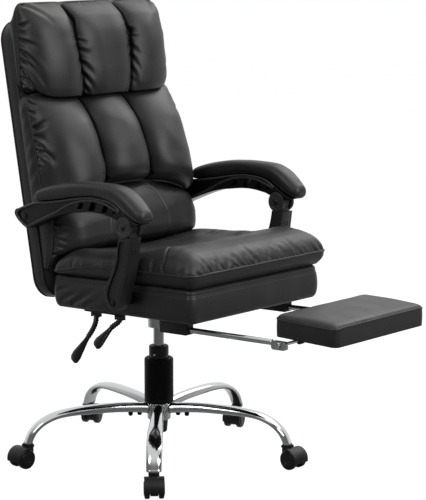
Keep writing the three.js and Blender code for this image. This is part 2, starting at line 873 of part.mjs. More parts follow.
function railBracketBlock(centre) {
  const front = rail.front + railBracket.length;
  const shape = roundedRectangle(
    -front,
    -rail.front - seatGap,
    rodPlace.z - railBracket.height / 2,
    rodPlace.z + railBracket.height / 2,
    railBracket.halfWidth,
  );
  const body = slab(shape, centre - railBracket.halfWidth, centre + railBracket.halfWidth);
  const reach = railBracket.halfWidth + overrun;
  return cut(body, rodAcross(
    crossRod.radius + seatGap,
    centre - reach,
    centre + reach,
    rodPlace.y,
    rodPlace.z,
    facets.bolt,
  ));
}

function crossRodBody() {
  const inner = railLine + railBracket.halfWidth + seatGap;
  const outer = inner + crossRod.head;
  const rod = turnedAcross([
    [0, -outer],
    [crossRod.headRadius, -outer],
    [crossRod.headRadius, -inner],
    [crossRod.radius, -inner],
    [crossRod.radius, inner],
    [crossRod.headRadius, inner],
    [crossRod.headRadius, outer],
    [0, outer],
  ], facets.bolt);
  return rod.translate(0, rodPlace.y, rodPlace.z);
}

// In the pad's frame: a plate under the board, with two eyes round the cross rod.
function padHingeBracket() {
  const top = footPad.board - seatGap;
  const outer = padHinge.earLine + padHinge.ear;
  const plate = box(-outer, outer, -padHinge.front, padHinge.rear, top - padHinge.plate, top);
  const parts = [plate];
  for (const { sign } of sides) {
    const [from, to] = [sign * padHinge.earLine, sign * outer];
    parts.push(rodAcross(padHinge.eye, from, to, 0, 0, facets.rod));
    parts.push(slab(
      [[-padHinge.eye, 0], [padHinge.eye, 0], [padHinge.rear, top], [-padHinge.rear, top]],
      from,
      to,
    ));
  }
  const reach = outer + overrun;
  return cut(join(...parts), rodAcross(crossRod.radius + runGap, -reach, reach, 0, 0, facets.bolt));
}

const padRimShare = 0.5; // of the rounding's height, how much the pad rises within its rim

// A boxed pad with a soft upper rim.
function footPadBlock() {
  const bottom = footPad.board + footPad.boardThickness + seatGap;
  const halfDepth = (footPad.rear + footPad.front) / 2;
  const middle = (footPad.rear - footPad.front) / 2;
  return softBlock(...footPadGrid, (u, v, w) => {
    const [x, y] = roundCorner(
      towardsRim(u) * footPad.halfWidth,
      towardsRim(v) * halfDepth,
      footPad.halfWidth,
      halfDepth,
      footPad.rounding,
    );
    const distance = Math.min(footPad.halfWidth - Math.abs(x), halfDepth - Math.abs(y));
    const rim = footPad.top - footPad.rounding;
    const roll = crownShare(distance, footPad.rounding);
    const rise = lerp(crownShare(distance, halfDepth), roll, padRimShare);
    return [x, y + middle, lerp(bottom, rim + footPad.rounding * rise, (w + 1) / 2)];
  });
}

function addFootrest() {
  for (const { name, sign } of sides) {
    const line = sign * railLine;
    addPiece(seat, `footrest_guide_${name}`, guideSleeve(line), plastic);
    const tube = rodUp(
      rail.radius,
      rail.rear,
      rail.front,
      facets.rod,
    ).rotateX(Math.PI / 2).translate(line, 0, -rail.drop);
    addPiece(seat, `footrest_rail_${name}`, tube, chrome);
    addPiece(seat, `rail_bracket_${name}`, railBracketBlock(line), zincSteel);
  }
  addPiece(seat, "footrest_cross_rod", crossRodBody(), chrome);
  addPiece(padFrame, "footrest_hinge_bracket", padHingeBracket(), blackSteel);
  const board = box(
    boardInset - footPad.halfWidth,
    footPad.halfWidth - boardInset,
    boardInset - footPad.front,
    footPad.rear - boardInset,
    footPad.board,
    footPad.board + footPad.boardThickness,
  );
  addPiece(padFrame, "footrest_board", board, plywood);
  addPiece(padFrame, "footrest_pad", footPadBlock(), leather);
}

// Back

const back = new THREE.Group();
back.position.set(0, backFoot.y, backFoot.z);
back.rotation.x = -radians(backPitch);
chair.add(back);

function backShell() {
  const halfHeight = (shell.top - shell.bottom) / 2;
  return softBlock(...shellGrid, (u, v, w) => {
    const [x, z] = roundCorner(
      towardsRim(u) * shell.halfWidth,
      towardsRim(v) * halfHeight,
      shell.halfWidth,
      halfHeight,
      v > 0 ? shell.corner : shell.corner / 2,
    );
    const distance = Math.min(shell.halfWidth - Math.abs(x), halfHeight - Math.abs(z));
    const rear = lerp(-shell.rounding, shell.bulge, crownShare(distance, shell.rounding * 2));
    return [x, lerp(rear, -shell.thickness, (1 - w) / 2), z + halfHeight + shell.bottom];
  });
}

// Each row of a pad's side view: place between its bottom and its top, then the crown's and the
// rim's shares of their largest depth.
const lumbarShares = [
  [0, 0.44, 0.58],
  [0.1, 0.54, 0.7],
  [0.15, 0.64, 0.76],
  [0.21, 0.9, 0.82],
  [0.28, 1.02, 0.88],
  [0.5, 1.06, 0.97],
  [0.76, 1.01, 1],
  [0.92, 0.93, 1],
  [1, 0.8, 1],
];
const backCushionShares = [
  [0, 0.86, 0.9],
  [0.04, 0.99, 0.95],
  [0.16, 1.06, 1],
  [0.33, 1.03, 1],
  [0.5, 0.975, 1],
  [0.66, 0.9, 0.97],
  [0.8, 0.78, 0.93],
  [0.94, 0.63, 0.88],
  [1, 0.53, 0.84],
];
const headrestShares = [
  [0, 0.72, 0.64],
  [0.04, 0.84, 0.66],
  [0.14, 0.97, 0.72],
  [0.28, 1, 0.76],
  [0.62, 1, 0.88],
  [0.8, 0.92, 0.94],
  [0.92, 0.76, 0.98],
  [1, 0.58, 0.98],
];
const leanShare = 0.17; // upper part of a pad whose rear face leans forward, of its height
const leanPower = 0.6; // how suddenly that face starts to lean
// How far a pad's full lower front hangs below its seam, as shares of the droop by height.
const droopShares = [
  [0, 0],
  [0.03, 0.06],
  [0.1, 1],
  [0.2, 0.75],
  [0.35, 0.3],
  [0.5, 0],
];
const sagStart = 0.25; // from the middle to where the waist's seam starts to fall, of the half width
const sagPower = 1.25; // how the fall grows towards the sides

// How deep the seams between channels lie, of the crown's depth over the rim.
const channelValleyShare = 0.62;
const headrestValleyShare = 0.12;
const backRollShare = 0.13;

// A pad on the shell's front: crowned over its rim, with upright seams between channels.
function backPad(pad, rows, { columns, channels, valleyShare, sagAt }) {
  const halfHeight = (pad.top - pad.bottom) / 2;
  const roll = backRollShare * pad.halfWidth;
  const foot = shell.thickness + seatGap;
  return softBlock(columns, backPadLines, backPadLayers, (u, v, w) => {
    const [x, z] = roundCorner(
      u * pad.halfWidth,
      towardsRim(v) * halfHeight,
      pad.halfWidth,
      halfHeight,
      pad.corner,
    );
    const share = (z / halfHeight + 1) / 2;
    const rear = foot + pad.lean * clamp((share - 1) / leanShare + 1, 0, 1) ** leanPower;
    const rim = Math.max(readTable(rows, share, 2) * pad.edge, rear + seatGap);
    const crown = readTable(rows, share, 1) * pad.crown;
    const inside = crownShare(pad.halfWidth - Math.abs(x), roll);
    const seam = Math.abs(Math.sin((channels * Math.PI * (u + 1)) / 2)) ** 0.5;
    const dip = Math.abs(u) > 1 - 1 / channels ? Math.max(seam, inside === 1 ? seam : 1) : seam;
    const depth = lerp(rim, Math.max(crown, rim), inside * (1 - valleyShare * (1 - dip)));
    const droop = (pad.droop * inside * readTable(droopShares, share) * (1 - w)) / 2;
    const sag = waistFall(x) * sagAt(share);
    return [x, -lerp(depth, rear, (w + 1) / 2), z + halfHeight + pad.bottom - droop - sag];
  });
}

// How far the seam at the waist lies below its middle, at a place across the back.
function waistFall(x) {
  const side = (Math.abs(x) / backCushion.halfWidth - sagStart) / (1 - sagStart);
  return waistSag * clamp(side, 0, 1) ** sagPower;
}

// The seat's half of the back hinge: two straps under the seat with eyes, and the pin through them.
function hingeOnSeat() {
  const top = seatUnderside(seatBase.rear) - seatGap - hingeStrap.thickness;
  const { radius, halfLength } = hingePin;
  const parts = [rodAcross(radius, -halfLength, halfLength, recline.y, recline.z, facets.rod)];
  for (const { sign } of sides) {
    const from = sign * (hingeEye.line - hingeEye.width);
    const to = sign * hingeEye.line;
    parts.push(rodAcross(hingeEye.radius, from, to, recline.y, recline.z, facets.turned));
    const front = seatBase.rear - hingeStrap.rear;
    const under = seatUnderside(front) - seatGap;
    parts.push(
      slab(
        [
          [front, under - hingeStrap.thickness],
          [recline.y, recline.z - hingeEye.radius],
          [recline.y + hingeEye.radius / 2, recline.z],
          [seatBase.rear, top + hingeStrap.thickness],
          [front, under],
        ],
        from,
        to,
      ),
    );
  }
  return join(...parts);
}

// Height of the seat's underside over the floor at a place behind the column.
function seatUnderside(y) {
  return seatHeight - y * Math.tan(radians(seatPitch));
}

// The back's half of the hinge: a plate under the shell with two eyes round the pin.
function hingeOnBack() {
  const from = hingeEye.line + runGap;
  const to = from + hingeEye.width;
  const local = (y, z) => {
    const turn = radians(backPitch);
    const [dy, dz] = [y - backFoot.y, z - backFoot.z];
    return [dy * Math.cos(turn) - dz * Math.sin(turn), dy * Math.sin(turn) + dz * Math.cos(turn)];
  };
  const [pinY, pinZ] = local(recline.y, recline.z);
  const top = shell.bottom - seatGap;
  const rear = pinY + hingeEye.radius;
  const parts = [box(
    -to,
    to,
    shell.rounding / 2 - shell.thickness,
    rear,
    top - hingeStrap.thickness / 2,
    top,
  )];
  for (const { sign } of sides) {
    parts.push(rodAcross(hingeEye.radius, sign * from, sign * to, pinY, pinZ, facets.turned));
    parts.push(box(sign * from, sign * to, pinY - hingeEye.radius, rear, pinZ, top));
  }
  const reach = to + overrun;
  return cut(join(...parts), rodAcross(hingePin.radius + runGap, -reach, reach, pinY, pinZ, facets.rod));
}

function addBack() {
  addPiece(chair, "back_hinge_seat_side", hingeOnSeat(), blackSteel);
  addPiece(back, "back_hinge_back_side", hingeOnBack(), blackSteel);
  addPiece(back, "back_shell", backShell(), leather);
  const plain = { columns: 12, channels: 1, valleyShare: 0, sagAt: (share) => share ** 2 };
  addPiece(back, "lumbar_panel", backPad(lumbar, lumbarShares, plain), leather);
  const channelled = {
    columns: 24,
    channels: channelCount,
    valleyShare: channelValleyShare,
    sagAt: (share) => 1 - share,
  };
  addPiece(back, "back_cushion", backPad(backCushion, backCushionShares, channelled), leather);
  const pillow = { columns: 18, channels: channelCount, valleyShare: headrestValleyShare, sagAt: () => 0 };
  addPiece(back, "headrest_pillow", backPad(headrest, headrestShares, pillow), leather);
}

// Arms

// The arm's side view from front to rear. Each row is a place behind the ear bolt as a share of the
// arm's length, then the pad's underside and crest as shares of the arm's rise, then its width share.
const armPadShares = [
  [-0.1745, 0.227, 0.38, 0.45],
  [-0.167, 0.15, 0.46, 0.64],
  [-0.141, 0.134, 0.55, 0.82],
  [-0.094, 0.196, 0.7, 0.94],
  [-0.026, 0.33, 0.87, 1],
  [0.06, 0.526, 0.98, 0.97],
  [0.141, 0.608, 1, 0.94],
  [0.237, 0.639, 1, 0.9],
  [0.401, 0.567, 0.965, 0.9],
  [0.56, 0.443, 0.87, 0.88],
  [0.6875, 0.361, 0.75, 0.86],
  [0.775, 0.316, 0.62, 0.82],
  [0.794, 0.33, 0.56, 0.72],
];
const armPlace = ([along, rise]) => [pivot.y + along * armLength, pivot.z + rise * armRise];

// The frame's lower edge from front to rear, and its rear end, as the same shares.
const armUnderShares = [
  [-0.128, 0.12],
  [-0.07, 0.07],
  [0, 0],
  [0.062, 0.175],
  [0.154, 0.247],
  [0.24, 0.268],
  [0.323, 0.247],
  [0.411, 0.196],
  [0.505, 0.134],
  [0.6, 0.03],
  [0.714, -0.134],
  [0.85, -0.36],
  [0.875, -0.405],
  [0.905, -0.37],
  [0.975, -0.2],
  [1, -0.06],
  [0.99, 0.04],
  [0.96, 0.085],
  [0.896, 0.186],
];

// The four slanted vents under the arch: their middles along the arm and their half lengths.
const ventShares = [
  [0.085, 0.007],
  [0.165, 0.022],
  [0.275, 0.026],
  [0.385, 0.02],
];
const ventFootShare = 0.3;
const ventHeadShares = [0.4, 0.5, 0.52, 0.46];
const ventLeanShare = 0.028;

const armPadSquareness = 0.62; // power of its round section, where 1 is an ellipse

function armPadBody(sign) {
  const across = new THREE.Vector3(1, 0, 0);
  const up = new THREE.Vector3(0, 0, 1);
  const rings = armPadShares.map(([along, low, high, width]) => {
    const [y, bottom] = armPlace([along, low]);
    const top = armPlace([along, high])[1];
    const centre = new THREE.Vector3(sign * armPadLine, y, (bottom + top) / 2);
    return ellipse(
      centre,
      across,
      up,
      width * armPad.halfWidth,
      (top - bottom) / 2,
      facets.armPad,
      armPadSquareness,
    );
  });
  return loft(rings);
}

function armFrameOutline() {
  const top = armPadShares
    .slice(2, -1)
    .map(([along, low]) => armPlace([along, low]))
    .map(([y, z]) => [y, z - seatGap])
    .reverse();
  return [...armUnderShares.map(armPlace), ...top];
}

function armFrameBody(sign) {
  const [inner, outer] = [sign * armInner, sign * armOuter];
  const earIn = [inner, inner + sign * ear.thickness];
  const earOut = [outer - sign * ear.thickness, outer];
  const parts = [
    slab(armFrameOutline(), inner, outer),
    rodAcross(ear.radius, ...earIn, pivot.y, pivot.z, facets.ear),
    rodAcross(ear.radius, ...earOut, pivot.y, pivot.z, facets.ear),
  ];
  const clear = upright.barrel + runGap + uprightInset;
  const between = rodAcross(clear, earIn[1], earOut[0], pivot.y, pivot.z, facets.ear);
  const bore = [inner - sign * overrun, outer + sign * overrun];
  const tools = [
    between,
    rodAcross(armBolt.shank + runGap, ...bore, pivot.y, pivot.z, facets.bolt),
    rodAcross(rearBolt.shank + rearBolt.play, ...bore, rearBolt.y, rearBolt.z, facets.bolt),
    slab(rearRecess(), outer - sign * armRecess, outer + sign * overrun),
  ];
  ventShares.forEach(([along, half], i) => {
    const corners = [
      [along - half, ventFootShare],
      [along + half, ventFootShare],
      [along + half - ventLeanShare, ventHeadShares[i]],
      [along - half - ventLeanShare, ventHeadShares[i]],
    ];
    tools.push(slab(corners.map(armPlace), ...bore));
  });
  return cut(join(...parts), ...tools);
}

// The sunk face of the rear panel, a share of the frame's own outline drawn in towards the bolt.
const rearRecessShares = [
  [0.62, 0.17],
  [0.75, -0.06],
  [0.875, -0.335],
  [0.975, -0.12],
  [0.96, 0.01],
  [0.88, 0.1],
];
const rearRecess = () => rearRecessShares.map(armPlace);

// The upright's side view, as shares of the drop from the ear bolt down to the foot stud, both ways.
const uprightShares = [
  [-0.118, 0.13],
  [-0.086, 0.36],
  [-0.054, 0.55],
  [0.02, 0.8],
  [0.1, 1.03],
  [0.155, 1.09],
  [0.215, 1.095],
  [0.29, 1.03],
  [0.34, 0.92],
  [0.35, 0.83],
  [0.32, 0.77],
  [0.24, 0.66],
  [0.175, 0.48],
  [0.12, 0.32],
  [0.08, 0.13],
];
const uprightPlace = ([along, drop]) => [pivot.y - along * uprightDrop, pivot.z + drop * uprightDrop];
const recessShares = [
  [-0.045, 0.2],
  [-0.015, 0.5],
  [0.08, 0.8],
  [0.135, 0.96],
  [0.165, 1.05],
  [0.225, 1.06],
  [0.27, 1],
  [0.295, 0.88],
  [0.2, 0.71],
  [0.13, 0.52],
  [0.06, 0.2],
];

function uprightBody(sign) {
  const [inner, outer] = [sign * upright.inner, sign * upright.outer];
  const neckIn = sign * (armInner + ear.thickness + runGap);
  const neckOut = sign * (armOuter - ear.thickness - runGap);
  const foot = uprightPlace([0, 0.2])[1];
  const parts = [
    slab(uprightShares.map(uprightPlace), inner, outer),
    rodAcross(upright.barrel, neckIn, neckOut, pivot.y, pivot.z, facets.turned),
    box(neckIn, neckOut, pivot.y - upright.neck, pivot.y + upright.neck, foot, pivot.z),
  ];
  const clear = ear.radius + runGap;
  const tools = [
    rodAcross(clear, sign * (armInner - overrun), neckIn, pivot.y, pivot.z, facets.ear),
    rodAcross(clear, neckOut, sign * (armOuter + overrun), pivot.y, pivot.z, facets.ear),
    rodAcross(
      armBolt.shank + runGap,
      inner - sign * overrun,
      outer + sign * overrun,
      pivot.y,
      pivot.z,
      facets.bolt,
    ),
    rodAcross(
      stud.radius + runGap,
      inner - sign * overrun,
      outer + sign * overrun,
      footPivot.y,
      footPivot.z,
      facets.bolt,
    ),
    slab(recessShares.map(uprightPlace), outer - sign * upright.recess, outer + sign * overrun),
    rodAcross(
      stud.head + runGap,
      outer - sign * upright.recess,
      outer + sign * overrun,
      footPivot.y,
      footPivot.z,
      facets.bolt,
    ),
  ];
  return cut(join(...parts), ...tools);
}

// A bolt through ears and barrel, with a low head at each end.
function earBolt(sign) {
  const [inner, outer] = [armInner - seatGap, armOuter + seatGap];
  const [start, end] = [inner - armBolt.headThickness, outer + armBolt.headThickness];
  const bolt = turnedAcross([
    [0, sign * start],
    [armBolt.head, sign * start],
    [armBolt.head, sign * inner],
    [armBolt.shank, sign * inner],
    [armBolt.shank, sign * outer],
    [armBolt.head, sign * outer],
    [armBolt.head, sign * end],
    [0, sign * end],
  ], facets.bolt);
  return bolt.translate(0, pivot.y, pivot.z);
}

// The plate on the seat's side, with the boss and the stud that the upright turns on.
function studBracket(sign) {
  const face = seatBase.halfWidth + seatGap;
  const plateOut = face + stud.plate;
  const plateFoot = footPivot.z - stud.boss;
  const [plateFront, plateRear] = [footPivot.y - stud.plateFront, footPivot.y + stud.plateRear];
  const seatFace = upright.outer - upright.recess + seatGap;
  const parts = [
    box(sign * face, sign * plateOut, plateFront, plateRear, plateFoot, plateFoot + studPlateHeight),
    rodAcross(stud.boss, sign * face, sign * (upright.inner - runGap), footPivot.y, footPivot.z, facets.rod),
    rodAcross(stud.radius, sign * face, sign * seatFace, footPivot.y, footPivot.z, facets.bolt),
    rodAcross(
      stud.head,
      sign * seatFace,
      sign * (seatFace + stud.headThickness),
      footPivot.y,
      footPivot.z,
      facets.bolt,
    ),
  ];
  return join(...parts);
}

// The bolt that joins the arm's rear end to the side of the back, with play in the arm's bore.
function rearArmBolt(sign) {
  const start = backCushion.halfWidth - stud.plate;
  const floor = armOuter - armRecess + seatGap;
  const bolt = turnedAcross([
    [0, sign * start],
    [rearBolt.head, sign * start],
    [rearBolt.head, sign * (armInner - runGap)],
    [rearBolt.shank, sign * (armInner - runGap)],
    [rearBolt.shank, sign * floor],
    [rearBolt.head, sign * floor],
    [rearBolt.head, sign * (floor + rearBolt.headThickness)],
    [0, sign * (floor + rearBolt.headThickness)],
  ], facets.bolt);
  return bolt.translate(0, rearBolt.y, rearBolt.z);
}

function addArms() {
  for (const { name, sign } of sides) {
    addPiece(chair, `arm_upright_${name}`, uprightBody(sign), plastic);
    addPiece(chair, `arm_frame_${name}`, armFrameBody(sign), plastic);
    addPiece(chair, `arm_pad_${name}`, armPadBody(sign), leather);
    addPiece(chair, `arm_pivot_bolt_${name}`, earBolt(sign), blackSteel);
    addPiece(chair, `arm_stud_bracket_${name}`, studBracket(sign), blackSteel);
    addPiece(chair, `arm_rear_bolt_${name}`, rearArmBolt(sign), blackSteel);
  }
}

addBase();
addColumn();
addSeat();
addLevers();
addFootrest();
addBack();
addArms();

// The footprint runs from the footrest's front edge to the hood of the rearmost caster.
const rearLeg = 3;
const rearTurn = radians(frontLegTurn + (360 / legCount) * rearLeg);
const rearReach = -baseReach * Math.cos(rearTurn) + wheelRadius + casterTrail / 2;
const frontReach = -rodPlace.y + footPad.front;
chair.position.y = (frontReach - rearReach) / 2;

export default chair;
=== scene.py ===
# Looks of a reclining office chair with footrest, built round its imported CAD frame.
# Lengths are in metres, and in millimetres in what from_mm and gathers take. The chair faces -Y, and the
# sitter's left is +X.

import json
import math

import bmesh
import bpy
import numpy as np
from mathutils import Matrix, Vector


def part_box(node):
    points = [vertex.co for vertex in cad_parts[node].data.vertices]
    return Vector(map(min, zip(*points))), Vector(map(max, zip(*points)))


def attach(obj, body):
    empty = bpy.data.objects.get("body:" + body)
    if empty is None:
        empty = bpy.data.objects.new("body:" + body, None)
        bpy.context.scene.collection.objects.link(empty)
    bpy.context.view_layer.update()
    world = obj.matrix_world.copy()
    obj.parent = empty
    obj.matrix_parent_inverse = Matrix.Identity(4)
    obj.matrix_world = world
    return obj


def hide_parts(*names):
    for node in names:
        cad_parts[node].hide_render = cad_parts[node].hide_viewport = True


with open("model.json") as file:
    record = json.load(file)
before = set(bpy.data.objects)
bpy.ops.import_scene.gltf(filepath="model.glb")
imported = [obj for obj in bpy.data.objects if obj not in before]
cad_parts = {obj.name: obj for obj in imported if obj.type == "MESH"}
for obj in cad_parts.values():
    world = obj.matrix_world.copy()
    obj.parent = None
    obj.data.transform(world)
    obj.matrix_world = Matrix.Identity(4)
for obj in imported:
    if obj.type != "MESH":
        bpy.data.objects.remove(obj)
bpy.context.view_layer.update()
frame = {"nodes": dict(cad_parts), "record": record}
BODY_OF = {node: body for body, nodes in frame["record"]["behaviour"]["bodies"].items() for node in nodes}
SLOTS = {row["node"]: row["material_slot"] for row in frame["record"]["subparts"]}
SIDES = (("right", -1), ("left", 1))
LEGS = range(1, 6)
ACROSS, UPWARDS = (1, 0, 0), (0, 0, 1)
TURN = 2 * np.pi
MERGE = 1e-5  # corners nearer to each other than this are one

hub_low, hub_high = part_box("base_hub")
COLUMN_Y = (hub_low.y + hub_high.y) / 2
ON_FLOOR = (0, COLUMN_Y, 0)


# Camera and light

CAMERA = {"azimuth": -46.8, "elevation": 10.3, "distance": 4.51, "focal": 1776, "height": 0.537, "side": 0.117}
FRAME_PIXELS = (426, 500)
CENTRE_PIXELS = (204.4, 250.1)
SENSOR = 36.0


def place_camera():
    azimuth, elevation = math.radians(CAMERA["azimuth"]), math.radians(CAMERA["elevation"])
    back = Vector((
        math.sin(azimuth) * math.cos(elevation),
        -math.cos(azimuth) * math.cos(elevation),
        math.sin(elevation),
    ))
    right = Vector((math.cos(azimuth), math.sin(azimuth), 0))
    target = right * CAMERA["side"] + Vector((0, COLUMN_Y, CAMERA["height"]))
    data = bpy.data.cameras.new("camera")
    data.sensor_width = SENSOR
    tall = max(FRAME_PIXELS)
    data.lens = CAMERA["focal"] / tall * SENSOR
    data.shift_x = (FRAME_PIXELS[0] / 2 - CENTRE_PIXELS[0]) / tall
    data.shift_y = (CENTRE_PIXELS[1] - FRAME_PIXELS[1] / 2) / tall
    data.clip_end = 100
    camera = bpy.data.objects.new("camera", data)
    camera.location = target + back * CAMERA["distance"]
    camera.rotation_euler = back.to_track_quat("Z", "Y").to_euler()
    bpy.context.scene.collection.objects.link(camera)
    bpy.context.scene.camera = camera
    bpy.context.scene.view_settings.view_transform = "Standard"


def area_light(name, place, aim, size, power):
    data = bpy.data.lights.new(name, "AREA")
    data.shape = "RECTANGLE"
    data.size, data.size_y = size
    data.energy = power
    lamp = bpy.data.objects.new(name, data)
    lamp.location = place
    lamp.rotation_euler = (Vector(place) - Vector(aim)).to_track_quat("Z", "Y").to_euler()
    bpy.context.scene.collection.objects.link(lamp)
    return lamp


AWAY = (0.73, 0.68, 0.0)  # the way the photograph's viewer looks
WHITE = (1, 1, 1, 1)
SOFT_LIGHT = 0.26
DIM, PALE = 0.18, 0.95  # what mirrors see of the room before the chair and above it
FLOOR_TONE = (0.18, 0.18, 0.18)


def add_node(tree, kind, inputs=(), **settings):
    """A shader node. Each of its inputs is a value, or the output that it is linked to."""
    new = tree.nodes.new("ShaderNode" + kind)
    for name, value in settings.items():
        setattr(new, name, value)
    for socket, value in dict(inputs).items():
        if isinstance(value, bpy.types.NodeSocket):
            tree.links.new(value, new.inputs[socket])
        else:
            new.inputs[socket].default_value = value
    return new


def combine(tree, operation, first, second):
    return add_node(tree, "Math", {0: first, 1: second}, operation=operation).outputs[0]


def map_range(tree, value, span, to, **settings):
    inputs = {"Value": value, "From Min": span[0], "From Max": span[1], "To Min": to[0], "To Max": to[1]}
    return add_node(tree, "MapRange", inputs, **settings).outputs[0]


def brighter_beyond(tree, place, span, to):
    """A strength that grows the way the photograph's viewer looks."""
    beyond = add_node(tree, "VectorMath", {0: place, 1: AWAY}, operation="DOT_PRODUCT")
    return map_range(tree, beyond.outputs["Value"], span, to, interpolation_type="SMOOTHSTEP")


def white_to_sight(tree):
    """1 for camera, glossy and transmission rays, else 0."""
    path = add_node(tree, "LightPath").outputs
    seen = combine(tree, "MAXIMUM", path["Is Camera Ray"], path["Is Glossy Ray"])
    return combine(tree, "MAXIMUM", seen, path["Is Transmission Ray"])


def light_scene():
    """A plain room: soft light all round, and a white backdrop that only eyes and mirrors see.

    Mirrors see the backdrop white behind the chair and above it, and dim on the side of the viewer.
    """
    world = bpy.data.worlds.new("studio")
    bpy.context.scene.world = world
    world.use_nodes = True
    tree = world.node_tree
    tree.nodes.clear()
    towards = add_node(tree, "TexCoord").outputs["Generated"]
    height = add_node(tree, "SeparateXYZ", {0: towards}).outputs["Z"]
    behind = brighter_beyond(tree, towards, (0.0, 0.6), (DIM, 1.0))
    above = map_range(tree, height, (0.30, 0.80), (DIM, PALE), interpolation_type="SMOOTHSTEP")
    in_mirrors = combine(tree, "MAXIMUM", behind, above)
    camera = add_node(tree, "LightPath").outputs["Is Camera Ray"]
    bright = combine(tree, "MAXIMUM", in_mirrors, camera)
    soft = add_node(tree, "Background", {"Color": WHITE, "Strength": SOFT_LIGHT})
    backdrop = add_node(tree, "Background", {"Color": WHITE, "Strength": bright})
    mix = add_node(tree, "MixShader", {0: white_to_sight(tree), 1: soft.outputs[0], 2: backdrop.outputs[0]})
    add_node(tree, "OutputWorld", {"Surface": mix.outputs[0]})
    area_light("key", (0.3, -3.2, 2.3), (0, 0.1, 0.75), (2.0, 1.8), 84)
    area_light("top", (1.9, -0.2, 3.1), (0, 0.1, 0.5), (2.8, 2.8), 80)
    area_light("near", (-2.9, 0.3, 2.3), (0, 0.2, 0.7), (1.0, 1.6), 36)


def make_floor():
    """A floor that is white to the eye. Mirrors see it white behind the chair and dim before it."""
    bpy.ops.mesh.primitive_plane_add(size=24, location=(0, 0, 0))
    floor = bpy.context.object
    floor.name = "studio_floor"
    made = material("studio_white", FLOOR_TONE, 1.0, specular=0.0)
    tree = made.node_tree
    place = add_node(tree, "NewGeometry").outputs["Position"]
    in_mirrors = brighter_beyond(tree, place, (-0.1, 1.1), (0.05, 0.85))
    to_camera = combine(tree, "MULTIPLY", add_node(tree, "LightPath").outputs["Is Camera Ray"], PALE)
    strength = combine(tree, "MAXIMUM", to_camera, in_mirrors)
    glow = add_node(tree, "Emission", {"Strength": combine(tree, "MULTIPLY", strength, white_to_sight(tree))})
    both = add_node(tree, "AddShader", {0: tree.nodes["Principled BSDF"].outputs[0], 1: glow.outputs[0]})
    tree.links.new(both.outputs[0], tree.nodes["Material Output"].inputs["Surface"])
    floor.data.materials.append(made)


# Materials

def material(name, colour, roughness, metallic=0.0, specular=0.5):
    made = bpy.data.materials.new(name)
    made.use_nodes = True
    shader = made.node_tree.nodes["Principled BSDF"]
    shader.inputs["Base Color"].default_value = (*colour, 1)
    shader.inputs["Roughness"].default_value = roughness
    shader.inputs["Metallic"].default_value = metallic
    shader.inputs["Specular IOR Level"].default_value = specular
    return made


def feed(made, source, socket):
    made.node_tree.links.new(source, made.node_tree.nodes["Principled BSDF"].inputs[socket])


def texture(made, kind, scale, output="Fac", **inputs):
    """A texture's values, read in the object's own coordinates, which move with it."""
    tree = made.node_tree
    place = tree.nodes.get("place") or add_node(tree, "TexCoord", name="place")
    inputs = {"Vector": place.outputs["Object"], "Scale": scale, **inputs}
    return add_node(tree, "Tex" + kind, inputs).outputs[output]


def ramp(made, source, low, high, span=(0.3, 0.7)):
    """Varies the roughness by a texture's values."""
    feed(made, map_range(made.node_tree, source, span, (low, high)), "Roughness")


def tint(made, source, dark, light, span=(0.3, 0.7)):
    """Varies the base colour between two colours by a texture's values."""
    colours = add_node(made.node_tree, "ValToRGB", {"Fac": source})
    for stop, place, colour in zip(colours.color_ramp.elements, span, (dark, light)):
        stop.position, stop.color = place, (*colour, 1)
    feed(made, colours.outputs["Color"], "Base Color")


def bump(made, layers):
    """Stacks bumps of (height, strength, distance)."""
    under = {}
    for height, strength, distance in layers:
        inputs = {"Strength": strength, "Distance": distance, "Height": height, **under}
        under = {"Normal": add_node(made.node_tree, "Bump", inputs).outputs["Normal"]}
    feed(made, under["Normal"], "Normal")


def leather_material():
    """Black imitation leather: fine pebble grain, faint creases, satin patches."""
    made = material("leather_black", (0.012, 0.012, 0.0125), 0.42, specular=0.34)
    grain = texture(made, "Voronoi", 620, "Distance")
    pores = texture(made, "Noise", 1500, Detail=2.0)
    creased = texture(made, "Noise", 90, Detail=5.0, Roughness=0.62)
    patches = texture(made, "Noise", 14, Detail=3.0)
    bump(made, [(creased, 0.12, 0.0012), (grain, 0.16, 0.0003), (pores, 0.06, 0.0002)])
    ramp(made, patches, 0.41, 0.51)
    tint(made, patches, (0.0125, 0.0125, 0.013), (0.0165, 0.0165, 0.017))
    return made


def plastic_material(name, tone, roughness, grain_strength, specular=0.3):
    made = material(name, (tone, tone, tone), roughness, specular=specular)
    grain = texture(made, "Noise", 900, Detail=2.0)
    flow = texture(made, "Noise", 22, Detail=3.0)
    bump(made, [(grain, grain_strength, 0.00025)])
    ramp(made, flow, roughness - 0.05, roughness + 0.05)
    tint(made, flow, (tone * 0.9,) * 3, (tone * 1.12,) * 3)
    return made


def metal_material(name, colour, roughness, waviness, spread):
    made = material(name, colour, roughness, metallic=1.0)
    waves = texture(made, "Noise", 35, Detail=2.0)
    haze = texture(made, "Noise", 260, Detail=4.0)
    bump(made, [(waves, waviness, 0.002)])
    ramp(made, haze, max(roughness - spread, 0.01), roughness + spread)
    tint(made, haze, tuple(c * 0.96 for c in colour), colour)
    return made


def plywood_material():
    made = material("plywood_bare", (0.42, 0.3, 0.18), 0.75)
    grain = texture(made, "Wave", 18, Distortion=6.0, Detail=3.0)
    fibre = texture(made, "Noise", 160, Detail=4.0)
    bump(made, [(grain, 0.15, 0.0006), (fibre, 0.1, 0.0004)])
    tint(made, grain, (0.33, 0.22, 0.12), (0.5, 0.37, 0.23), (0.2, 0.8))
    ramp(made, fibre, 0.65, 0.85)
    return made


